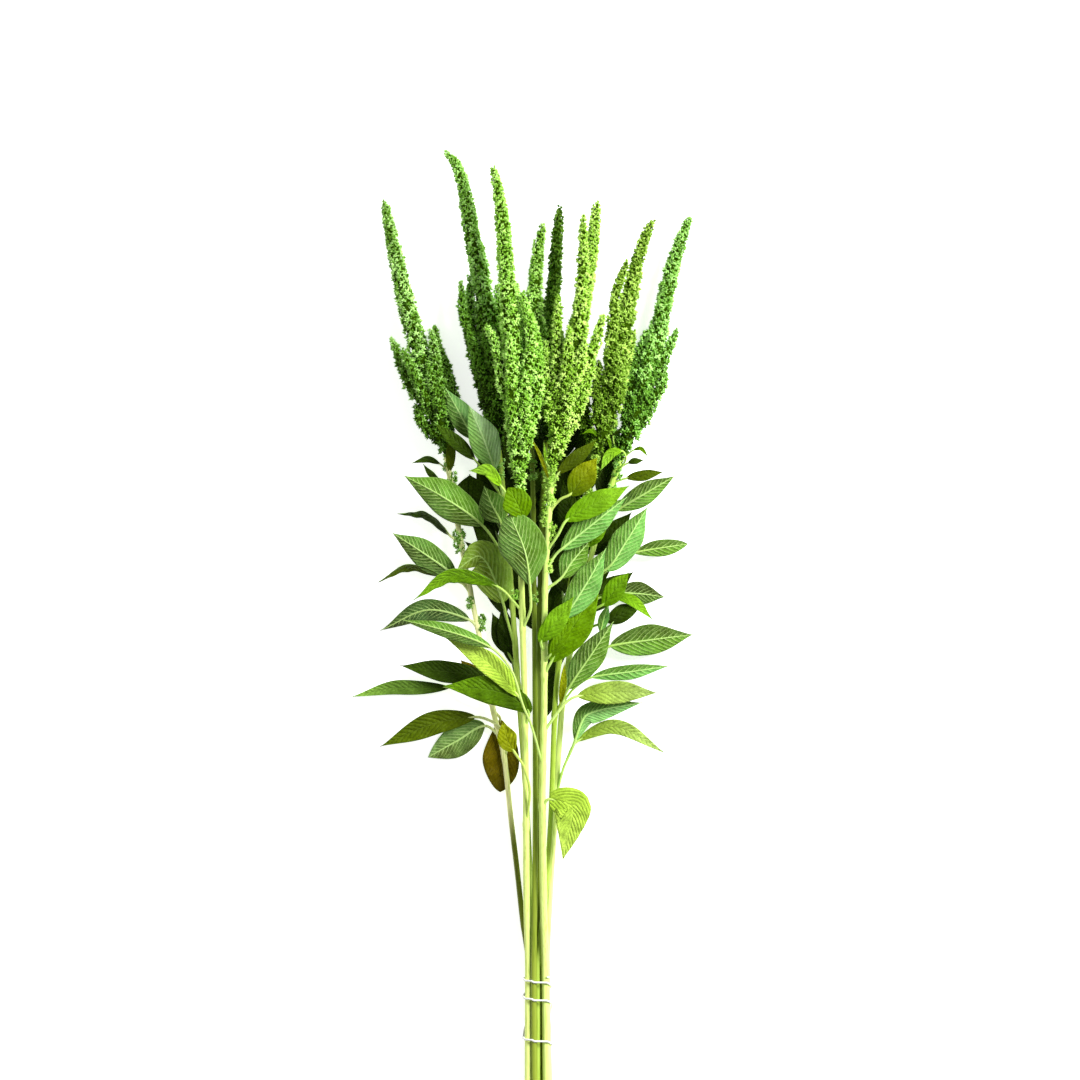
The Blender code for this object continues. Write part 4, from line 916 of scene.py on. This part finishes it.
# %% Leaf colours
# Two colours as (red, green, blue) seen on screen. Where an underside faces up there is one for
# each side of the midrib, on its pale downy green: the half towards the lamp in painted light and
# the other half in painted shade; a top has one at its base and one at its tip
LEAF_COLOURS = {
    "under pale": ((138, 194, 98), (212, 255, 196)), "under soft": ((78, 118, 30), (150, 216, 130)),
    "under mint": ((84, 130, 24), (118, 188, 88)), "under olive": ((128, 152, 16), (150, 186, 60)),
    "under green": ((72, 102, 0), (106, 160, 36)), "under moss": ((66, 94, 0), (92, 138, 18)),
    "under lime": ((70, 112, 0), (92, 144, 4)), "under grey": ((92, 112, 42), (124, 160, 92)),
    "under dark": ((58, 80, 0), (84, 128, 32)), "under deep": ((28, 40, 0), (52, 78, 10)),
    "bright": ((96, 146, 2), (124, 178, 24)), "fresh": ((112, 166, 12), (140, 196, 40)),
    "grass": ((70, 104, 0), (118, 168, 20)), "lime": ((150, 210, 30), (176, 234, 84)),
    "deep": ((104, 150, 0), (118, 166, 6)), "dark": ((42, 62, 0), (76, 110, 20)),
    "shade": ((34, 52, 0), (58, 84, 6)), "olive": ((70, 86, 0), (100, 126, 12)),
    "gold": ((134, 146, 2), (168, 182, 20)), "yellow tip": ((92, 120, 0), (166, 176, 8)),
    "parched": ((156, 190, 66), (190, 222, 130)), "pale lime": ((190, 232, 78), (208, 242, 112)),
    "pale tip": ((48, 72, 2), (152, 204, 88)), "brown": ((132, 116, 2), (92, 82, 0)),
}
HIDDEN_TOP = colour(84, 128, 10)
HIDDEN_UNDER = colour(116, 160, 76)
print(len(LEAF_COLOURS), "leaf colours")

# %% Bend one blade
# Where a blade is widest, and how drawn out its tip is; a few are rounder than the rest
BLADE_SHAPE = (0.46, 1.25)
ODD_SHAPES = {"left 7": (0.56, 0.55), "right 7": (0.52, 0.7), "upper 9": (0.5, 0.8),
              "left 6": (0.42, 1.0), "right 16": (0.36, 1.1), "left 15": (0.46, 0.9),
              "left 16": (0.56, 0.7), "right 19": (0.5, 0.9)}
ROLL_SHARE = 0.82
MIN_HALF_WIDTH = 0.25 * MM
PUFF = 0.045
RIPPLE = 0.055
SWAY = 0.04
VEIN_SPACING = 5.2 * MM
VEIN_CLIMB = 1.2
VEIN_BOW = 0.45
FOLD_SHARPNESS = 1.15
FOLD_BALANCE = 0.45


def leaf_route(number, leaf):
    """The route from the stem's middle to the leaf's tip, and where the blade starts on it."""
    stem = stem_routes[number]
    root = stem.at(stem.at_photo_height(leaf[1]))[0]
    route = Route([tuple(root)] + [place(*point) for point in leaf[7:]])
    return route, route.stops[-3]


def rolled(frames, roll):
    """The directions across a blade and out of its upper face, turned about its heading."""
    _, _, side, up = frames
    turn = math.radians(roll * ROLL_SHARE)
    return math.cos(turn) * side + math.sin(turn) * up, math.cos(turn) * up - math.sin(turn) * side


def blade_outline(name, along):
    """Half width along the blade, 1 at its widest, round at the base and drawn out at the tip."""
    peak, tip_power = ODD_SHAPES.get(name, BLADE_SHAPE)
    power = math.log(0.5) / math.log(peak)
    arch = np.sin(math.pi * np.clip(along, 0, 1) ** power)
    return np.clip(arch, 0, 1) ** np.where(along < peak, 0.75, tip_power)


def make_blade(number, leaf):
    name, _, width, roll, look, fold, waves = leaf[:7]
    is_under = look.startswith("under")
    route, base = leaf_route(number, leaf)
    spacing = VEIN_SPACING * rng.uniform(0.85, 1.2)
    phase = rng.uniform(0, 6.28, 3)
    body, flat = own_copy(blade_blank, name)
    share = np.clip(flat[:, 0], -1, 1)
    out = np.abs(share)
    along = (flat[:, 1] + 1) / 2
    frames = route.frames(np.linspace(base, route.length, BLADE_ALONG + 1))
    across, facing = rolled(frames, roll)
    half = np.maximum(width / 2 * MM * blade_outline(name, along), MIN_HALF_WIDTH)
    climb = half * out * (VEIN_CLIMB + VEIN_BOW * out)
    count = (along * (route.length - base) - climb) / spacing
    puff = (PUFF * width * MM * np.sin(count * 1.9 + phase[0]) * np.sin(share * 7 + phase[1])
            * np.sin(math.pi * along) ** 0.6 * np.minimum(1, out * 4))
    ripple = (waves * RIPPLE * half * share**2
              * (np.sin(along * 13 + phase[0] + np.where(share < 0, 2.1, 0.0))
                 + 0.5 * np.sin(along * 31 + phase[1])))
    crease = fold * half * (out ** FOLD_SHARPNESS - FOLD_BALANCE)
    lift = crease + puff + ripple + flat[:, 2] * BLADE_HALF_THICKNESS
    sway = SWAY * half * np.sin(along * 9 + phase[2]) * out
    level = level_of(along, BLADE_ALONG)
    shape = (frames[0][level] + across[level] * (share * half + sway)[:, None]
             + facing[level] * lift[:, None])
    shape[:, 2] = np.maximum(shape[:, 2], LOWEST)
    move_points(body, shape)
    # An underside is painted lighter on the half towards the lamp and darker on the other, as painted light
    # and shade; a top changes from its base colour to its tip colour
    onto = 0.5 + 0.5 * np.tanh(share * 4) if is_under else along**1.5
    shown = blended(*LEAF_COLOURS[look], onto) * rng.uniform(0.92, 1.08)
    upper = flat[:, 2] > 0
    tint = np.where(upper[:, None], shown, HIDDEN_TOP if is_under else HIDDEN_UNDER)
    paint(body.data, tint, upper == is_under)
    corners = np.empty(len(body.data.loops), dtype=np.int32)
    body.data.loops.foreach_get("vertex_index", corners)
    table = np.column_stack([(share[corners] + 1) / 2, count[corners]])
    body.data.uv_layers["UVMap"].data.foreach_set("uv", table.ravel())
    return body


# %% Petiole and midrib
PETIOLE_RADIUS = 1.05 * MM
MIDRIB_END = 0.16 * MM
MIDRIB_RISE = 0.30 * MM
FLARE_REACH = 3.5 * MM


def make_petiole(number, leaf):
    name, _, width, roll, look, fold, _ = leaf[:7]
    is_under = look.startswith("under")
    route, base = leaf_route(number, leaf)
    thick = min(PETIOLE_RADIUS, (0.35 + width / 26) * MM)
    steps = np.linspace(0, route.length, PETIOLE_LEVELS + 1)
    frames = route.frames(steps)
    onto = np.clip((steps - base) / (route.length - base), 0, 1)
    radii = thick * (1 - onto) ** 0.8 + MIDRIB_END
    radii = radii * (1 + 0.7 * np.exp(-(steps / FLARE_REACH) ** 2))
    sink = MIDRIB_RISE if is_under else -radii - 0.2 * MM
    outline = blade_outline(name, onto) * (onto > 0)
    rise = sink * np.minimum(1, onto * 8) - FOLD_BALANCE * fold * width / 2 * MM * outline
    middle = frames[0] + rolled(frames, roll)[1] * rise[:, None]
    body, flat = own_copy(petiole_blank, name + " petiole")
    move_points(body, wrap(flat, (middle, *frames[1:]), radii))
    paleness = 0.6 if is_under else 0.25
    rib = np.array(colour(*LEAF_COLOURS[look][1])) * (1 - paleness) + np.array(PALE_VEIN) * paleness
    stalk = np.array(colour(*STALK_TINTS[number][1])) * 0.6 + rib * 0.4
    if name.startswith(("back", "dark")):
        stalk = rib
    share = np.clip(flat[:, 2:3] * route.length / base - 0.7, 0, 1)
    paint(body.data, stalk + (rib - stalk) * share)
    return body


leaves = []
for number in STEMS:
    bodies = [make(number, leaf) for leaf in leaves_of(number) for make in (make_blade, make_petiole)]
    leaves.append(joined(bodies, f"leaves_{number}"))
    stands_for(leaves[-1], f"stalk_{number}")
print("leaves:", triangles_in(*leaves), "triangles")

# %% [markdown]
# ## Seed heads
# A head is a spike with shorter spikes pressed to it. Every spike is packed with glomerules, tight
# knots of florets about 4 mm wide, and each floret ends in a small pointed bract. Sculpting them
# would never end, so one floret is modelled with a few faces, and a rule sets it down many
# thousand times: knots go up each spike in a spiral, nine florets stand on each knot like the rays
# of a star, and slow waves push knots out or in, so that they gather in tufts. Joining that many
# objects would take minutes, so their points are worked out in one table instead.

# %% Floret blank
FLORET_SIDES = 4
choose()
bpy.ops.mesh.primitive_cone_add(vertices=FLORET_SIDES, radius1=0.62, radius2=0.0, depth=1.6,
                                location=(0, 0, 1.7))
floret_blank = named("floret blank")
bpy.ops.object.transform_apply(location=True, rotation=False, scale=False)
pick(floret_blank, "FACE", lambda face: face.normal.z < -0.9)
bpy.ops.mesh.poke(offset=0.9)
bpy.ops.object.mode_set(mode="OBJECT")
floret_points = points_of(floret_blank.data)
print("floret:", triangles_in(floret_blank), "triangles, reaches", floret_points.max(0).round(2))
floret_faces = np.array([tuple(face.vertices) for face in floret_blank.data.loop_triangles])

# %% Where the knots go
HEAD_PROFILE = [(0.0, 0.30), (0.05, 0.62), (0.16, 1.0), (0.40, 0.95), (0.55, 0.84), (0.75, 0.70),
                (0.90, 0.54), (0.97, 0.38), (1.0, 0.15)]
SIDE_SPIKE_PROFILE = [(0.0, 0.70), (0.35, 1.0), (0.70, 0.85), (0.90, 0.62), (1.0, 0.25)]
SIDE_SPIKE_RADIUS = 4.7
KNOT_SPACING = 5.4 * MM
KNOT_DEPTH = 1.4 * MM
# Florets in each ring of a knot, and how far they tilt out
KNOT_RINGS = ((1, 0.0), (4, 0.7), (4, 1.35))
# The three crossing waves of the tufts, one in each column, in radians per metre
LUMP_WAVES = np.array([(520.0, -380.0, 150.0), (260.0, 340.0, -480.0), (-180.0, 420.0, 500.0)])
LUMP_HEIGHT = 2.1 * MM
GOLDEN_ANGLE = math.radians(137.508)
BURIED = 0.72


def profile(table, share):
    return np.interp(share, *zip(*table))


def spikes_of(number):
    """Route, radius and radius table of the main spike and of each side spike."""
    radius, points, spikes = HEADS[number]
    found = [(trail(points), radius * MM, HEAD_PROFILE)]
    for spike in spikes + INNER_SPIKES.get(number, []):
        found.append((trail(spike), SIDE_SPIKE_RADIUS * MM, SIDE_SPIKE_PROFILE))
    return found


def outward(frames, angle):
    """The way out at each angle round a route."""
    return np.cos(angle)[:, None] * frames[2] + np.sin(angle)[:, None] * frames[3]


def knots_on(spike):
    """Knot centres up one spike in a spiral, with the way out, the way up and the size of each."""
    route, width, table = spike
    distance, angle = 0.5 * MM, rng.uniform(0, 6.28)
    rows = []
    while distance < route.length:
        share = distance / route.length
        radius = width * profile(table, share)
        size = np.interp(share, [0, 0.4, 0.85, 1], [1.1, 0.95, 0.75, 0.6])
        rows.append((distance, angle, radius, size))
        distance += (KNOT_SPACING * size) ** 2 * 0.9 / (TURN * max(radius, 1.6 * MM))
        angle += GOLDEN_ANGLE
    distance, angle, radius, size = np.array(rows).T
    distance = distance + rng.normal(0, 0.10, len(rows)) * KNOT_SPACING * size
    distance = np.clip(distance, 0, route.length)
    angle = angle + rng.normal(0, 0.14, len(rows))
    size = size * rng.uniform(0.9, 1.25, len(rows))
    frames = route.frames(distance)
    out = outward(frames, angle)
    skin = frames[0] + out * radius[:, None]
    lump = np.sin(skin @ LUMP_WAVES + rng.uniform(0, 6.28, 3)).mean(axis=1)
    lump = lump * np.interp(distance / route.length, (0.4, 0.8), (1, 0.35))
    sunk = radius - KNOT_DEPTH * size + LUMP_HEIGHT * lump
    sunk = np.maximum(sunk + rng.normal(0, 0.3 * MM, len(rows)), 0.2 * MM)
    return frames[0] + out * sunk[:, None], out, frames[1], size, lump


def clear_of_others(centres, own, spikes):
    """How far each knot stands out of the head's other spikes; below 0 it is swallowed."""
    clear = np.full(len(centres), 1.0)
    for index, (route, width, table) in enumerate(spikes):
        if index == own:
            continue
        steps = np.linspace(0, route.length, 60)
        axis = route.at(steps)
        radius = width * profile(table, steps / route.length)
        gap = np.linalg.norm(centres[:, None, :] - axis[None, :, :], axis=2) - BURIED * radius
        clear = np.minimum(clear, gap.min(axis=1))
    return clear


# %% Florets on the knots
def floret_places(centres, out, heading, size, light):
    """Florets stand on each knot like the rays of a star, and all lean up the spike."""
    tangent = np.cross(out, heading)
    rise = (0.35 + 0.55 * (1.15 - size))[:, None]
    rows = []
    for rays, tilt in KNOT_RINGS:
        for k in range(rays):
            turn = rng.uniform(-0.35, 0.35, len(centres)) + (k + tilt) * TURN / rays
            flat = np.cos(turn)[:, None] * tangent + np.sin(turn)[:, None] * heading
            lean = out * math.cos(tilt) + flat * math.sin(tilt) + heading * rise
            lean = lean + rng.normal(0, 0.14, lean.shape)
            lean = lean / np.linalg.norm(lean, axis=1)[:, None]
            spots = centres + lean * rng.uniform(-0.2, 0.5, (len(centres), 1)) * MM
            rows.append(np.column_stack([spots, lean, rng.uniform(0, 1, len(centres)), light, size]))
    return np.vstack(rows)


def stamp(name, finish, rows):
    """One mesh with a copy of the floret at every row: spot, axis, chance, light and size."""
    rows = np.vstack(rows)
    spots, axes, chance, light, sizes = rows[:, :3], rows[:, 3:6], rows[:, 6], rows[:, 7], rows[:, 8]
    spare = np.where(np.abs(axes[:, 2:3]) > 0.9, (1.0, 0.0, 0.0), (0.0, 0.0, 1.0))
    side = crossed(axes, spare)
    other = np.cross(axes, side)
    turn = rng.uniform(0, 6.28, len(spots))[:, None]
    first = np.cos(turn) * side + np.sin(turn) * other
    second = np.cos(turn) * other - np.sin(turn) * side
    scaled = floret_points[None, :, :] * sizes[:, None, None]
    points = (spots[:, None, :] + first[:, None, :] * scaled[:, :, 0:1]
              + second[:, None, :] * scaled[:, :, 1:2] + axes[:, None, :] * scaled[:, :, 2:3])
    points[:, :, 2] = np.maximum(points[:, :, 2], LOWEST)
    faces = floret_faces[None] + (np.arange(len(spots)) * len(floret_points))[:, None, None]
    made = bpy.data.meshes.new(name)
    made.from_pydata(points.reshape(-1, 3), [], faces.reshape(-1, 3).tolist())
    height = floret_points[:, 2]
    # Each floret is paler at its pointed tip and darker at its foot down in the knot: partly the bract's
    # own paler tip, partly painted shade
    up = ((height - height.min()) / (height.max() - height.min())) ** 0.6
    tint = np.stack(np.broadcast_arrays(chance[:, None], up[None, :], light[:, None]), axis=2)
    paint(made, tint.reshape(-1, 3))
    made.materials.append(finish)
    body = linked(name, made)
    smooth(body)
    return body


# %% Floret and core finishes
# Shade, middle and lit colour of each head's florets
HEAD_COLOURS = {
    1: ((24, 42, 2), (104, 156, 40), (200, 246, 146)),
    2: ((26, 40, 0), (116, 174, 46), (200, 250, 146)),
    3: ((30, 52, 0), (130, 188, 50), (206, 252, 134)),
    4: ((26, 48, 2), (114, 168, 42), (198, 244, 130)),
    5: ((16, 30, 0), (64, 102, 16), (128, 174, 56)),
    6: ((36, 56, 0), (142, 192, 52), (206, 240, 124)),
    7: ((26, 42, 0), (108, 150, 30), (192, 230, 104)),
    8: ((22, 42, 0), (106, 162, 46), (190, 244, 136)),
}


def floret_finish(number):
    shade, middle, lit = (colour(*c) for c in HEAD_COLOURS[number])
    n = Finish(f"florets {number}", 0.6, 0.15)
    parts = n.add("SeparateColor", {0: n.tint()["Color"]}).outputs
    spots = n.group(mottling, {"Position": n.position, "Patch Scale": 90.0, "Grain Scale": 2500.0})
    tone = n.times(parts[1], 0.5)
    for source, factor in ((parts[0], 0.35), (parts[2], 0.4), (spots["Patches"], 0.12)):
        tone = n.times_plus(source, factor, tone)
    low = n.mix(n.step(tone, 0.2, 0.75), shade, middle)
    n.show(n.mix(n.step(tone, 0.7, 1.15), low, lit), spots["Grain"], 0.25, 0.0002)
    return n.material


# The core's near-black green is partly its own colour and partly painted shade in the gaps between the
# knots
n = core_finish = Finish("head core", 0.85, 0.0)
dusk = n.noise(n.position, 900.0, 3.0)
n.show(n.mix(dusk, colour(22, 38, 0), colour(60, 90, 8)), dusk, 0.8, 0.0006)
finishes = {number: floret_finish(number) for number in HEADS}
print("finishes for", len(finishes), "heads, and", core_finish.material.name)

# %% Heads
FLORET_SIZE = 1.5 * MM
# Each head is in shade at its foot: the shares of its length at which the shade is full and over
DUSK = {1: (-0.1, 0.5), 2: (0.15, 0.55), 3: (-1.0, -0.5), 4: (0.0, 0.3), 5: (0.0, 0.4),
        6: (-0.5, 0.15), 7: (-0.1, 0.35), 8: (-0.1, 0.4)}
DUSK_DEPTH = 0.45
LUMP_LIGHT = 0.75
CREASE_REACH = 4.0 * MM
CORE_SIDES = 8
CORE_LEVELS = 26
CORE_INSET = 1.0 * MM
core_blank = upright_tube("core blank", CORE_SIDES, CORE_LEVELS, core_finish.material)


def make_core(spike):
    """The stalk and inner florets that show between the knots, near-black: partly their own dark green,
    partly painted shade in the gaps.
    """
    route, width, table = spike
    steps = np.linspace(0, route.length - 1.0 * MM, CORE_LEVELS + 1)
    radii = np.maximum(width * profile(table, steps / route.length) - CORE_INSET, 0.8 * MM)
    body, flat = own_copy(core_blank, "core")
    move_points(body, wrap(flat, route.frames(steps), radii * rng.normal(1, 0.06, CORE_LEVELS + 1)))
    return body


def foot_share(centres, spike):
    """0 at the foot of the head and 1 at its tip; the florets are darker near the foot."""
    start, end = spike[0].points[0], spike[0].points[-1]
    line = end - start
    return np.clip((centres - start) @ line / line.dot(line), 0, 1)


def make_head(number):
    spikes = spikes_of(number)
    rows = []
    for index, spike in enumerate(spikes):
        centres, out, heading, size, lump = knots_on(spike)
        clear = clear_of_others(centres, index, spikes)
        # Painted light and shade: florets are darker where a knot crowds against another spike, as shade in
        # the crease, and towards each head's foot as set by DUSK; tufts that stand out are lighter
        light = np.clip(clear / CREASE_REACH, 0, 1) * rng.uniform(0.3, 1.0, len(clear))
        lit = np.interp(foot_share(centres, spikes[0]), DUSK[number], (0, 1))
        light = light * lit - DUSK_DEPTH * (1 - lit) + LUMP_LIGHT * lump
        kept = clear > 0
        row = floret_places(centres[kept], out[kept], heading[kept], size[kept], light[kept])
        row[:, 8] = FLORET_SIZE * row[:, 8] * rng.uniform(0.85, 1.15, len(row))
        rows.append(row)
    body = stamp(f"florets_{number}", finishes[number], rows)
    core = joined([make_core(spike) for spike in spikes], f"core_{number}")
    for piece in (body, core):
        stands_for(piece, f"head_{number}")
    print("head", number, "florets", triangles_in(body), "core", triangles_in(core), "triangles")


for number in HEADS:
    make_head(number)

# %% [markdown]
# ## Florets on the stalks
# Below the head, small knots of florets sit where the upper leaves leave the stem. They are the
# same floret, set down in loose clusters against the stem.

# %% Clusters in the leaf axils
# Pixel x and y of each cluster's middle, its half length and half width in mm, and its knots
AXIL_CLUSTERS = {
    1: [(458, 542, 10, 6, 57), (469, 603, 4.5, 3.0, 20), (484, 624, 7, 3.4, 26),
        (449, 462, 7, 5, 31), (454, 480, 6, 5, 22)],
    2: [(500, 470, 9, 4, 26), (503, 500, 5, 3.2, 15)],
    3: [(512, 595, 4, 2.6, 13), (519, 500, 6, 5.5, 31), (521, 520, 5, 4.2, 20)],
    4: [(534, 597, 5, 3.0, 18), (533, 470, 8, 4, 26)],
    5: [(545, 470, 10, 4, 31), (543, 520, 6, 3.4, 18)],
    6: [(543, 517, 8, 3.2, 26), (554, 532, 7, 3.0, 22), (549, 490, 13, 6.6, 75),
        (549, 567, 6, 3.6, 22), (553, 474, 6, 6.4, 31)],
    7: [(594, 466, 9, 4.6, 31), (588, 492, 7, 3.6, 18)],
    8: [(618, 468, 9, 5.0, 35), (612, 488, 7, 3.6, 20)],
}
CLUSTER_FLORET_SIZE = 0.78 * FLORET_SIZE


def make_cluster(number):
    stem = stem_routes[number]
    rows = []
    for pixel_x, pixel_y, half_long, half_wide, knots in AXIL_CLUSTERS[number]:
        distance = stem.at_photo_height(pixel_y) + rng.uniform(-half_long, half_long, knots) * MM
        distance = np.minimum(distance, stem.length)
        frames = stem.frames(distance)
        out = outward(frames, rng.uniform(0, TURN, knots))
        offset = place(pixel_x, pixel_y, 0)[0] - frames[0][:, 0]
        reach = rng.uniform(0.2, 0.75, knots) * half_wide * MM
        skin = stem_radius(number, distance / stem.length) * 0.9 - 0.5 * np.abs(offset)
        centre = frames[0] + out * np.maximum(reach, skin)[:, None]
        centre[:, 0] += offset * 0.7
        size = rng.uniform(0.75, 1.0, knots)
        row = floret_places(centre, out, frames[1], size, rng.uniform(0.3, 1, knots))
        row[:, 8] *= CLUSTER_FLORET_SIZE
        rows.append(row)
    body = stamp(f"stalk_florets_{number}", finishes[number], rows)
    stands_for(body, f"stalk_{number}")
    return body


clusters = [make_cluster(number) for number in AXIL_CLUSTERS]
print("clusters:", triangles_in(*clusters), "triangles")

# %% [markdown]
# ## The elastic
# One thin white elastic is wound about three and a half times round the stems. Being stretched,
# it takes the shortest way round the bundle: it touches the outermost stems and runs straight
# between them. For each direction, the furthest stem gives the point it passes over.

# %% Elastic route
BAND_RADIUS = 0.85
BAND_CLEARANCE = 0.4
BAND_CROSSINGS_PX = [(1045, 1039), (1004, 998), (986, 980)]
BAND_START_PX = 1046
BAND_END_PX = 978
BAND_FRONT_ANGLES = [20, 40, 60, 80, 100, 120, 140, 160]
BAND_BACK_ANGLES = [180, 205, 230, 250, 269.5, 270.5, 290, 315, 338, 360]
BAND_FIRST_BACK_RING = 3
BAND_LAST_FRONT_RINGS = 4
TIE_SHARE = 0.05
BAND_STEP_DEGREES = 6


def band_point(angle, pixel_y):
    """Middle of the elastic where it passes over the furthest stem, just clear of it."""
    along = place(0, pixel_y, 0)[1]
    outward = np.array((math.cos(angle), 0.0, math.sin(angle)))
    passed = []
    for number, route in stem_routes.items():
        centre = route.at(route.at_photo_height(pixel_y))[0]
        reach = stem_radius(number, TIE_SHARE) + (BAND_CLEARANCE + BAND_RADIUS) * MM
        point = np.array((centre[0], along, centre[2])) + reach * outward
        passed.append((centre.dot(outward) + reach, point))
    return max(passed, key=lambda row: row[0])[1]


front, back = BAND_FRONT_ANGLES, BAND_BACK_ANGLES
angles = [angle - 360 for angle in back[BAND_FIRST_BACK_RING:]]
pixels = [BAND_START_PX] * len(angles)
after = [right for right, _ in BAND_CROSSINGS_PX[1:]] + [BAND_END_PX]
for turn, (right, left) in enumerate(BAND_CROSSINGS_PX):
    for rim, start, end in ((front, right, left), (back, left, after[turn])):
        for angle in rim:
            angles.append(angle + 360 * turn)
            pixels.append(start + (end - start) * (angle - rim[0]) / (rim[-1] - rim[0]))
angles += [angle + 360 * len(BAND_CROSSINGS_PX) for angle in front[:BAND_LAST_FRONT_RINGS]]
pixels += [BAND_END_PX] * BAND_LAST_FRONT_RINGS
fine_angles = np.arange(angles[0], angles[-1] + 1, BAND_STEP_DEGREES)
fine_pixels = np.interp(fine_angles, angles, pixels)
band_points = [band_point(math.radians(a), p) for a, p in zip(fine_angles, fine_pixels)]
print("elastic route has", len(band_points), "points")

# %% Elastic
n = band_finish = Finish("white elastic", 0.55)
knit = n.add("TexWave", {"Vector": n.position, "Scale": 900.0, "Distortion": 2.0}).outputs["Fac"]
cloth = n.mix(n.noise(n.position, 260.0), colour(246, 246, 243), colour(226, 228, 224))
n.show(n.mix(n.times(knit, 0.25), cloth, colour(205, 206, 204)), knit, 0.35, 0.0002)

band_curve = bpy.data.curves.new("elastic_band", "CURVE")
band_curve.dimensions = "3D"
band_curve.bevel_depth = BAND_RADIUS * MM
band_curve.bevel_resolution = 3
band_curve.use_fill_caps = True
spline = band_curve.splines.new("POLY")
spline.points.add(len(band_points) - 1)
for node, point in zip(spline.points, band_points):
    node.co = (*point, 1)
choose(linked("elastic_band", band_curve))
bpy.ops.object.convert(target="MESH")
band = bpy.context.object
band.data.materials.append(band_finish.material)
smooth(band)
stands_for(band, "binding_band")
print("elastic:", triangles_in(band), "triangles")

# %% [markdown]
# The blanks have done their work, so they are taken away.

# %% Clear the blanks
for blank in (stem_blank, blade_blank, petiole_blank, floret_blank, core_blank):
    bpy.data.objects.remove(blank)
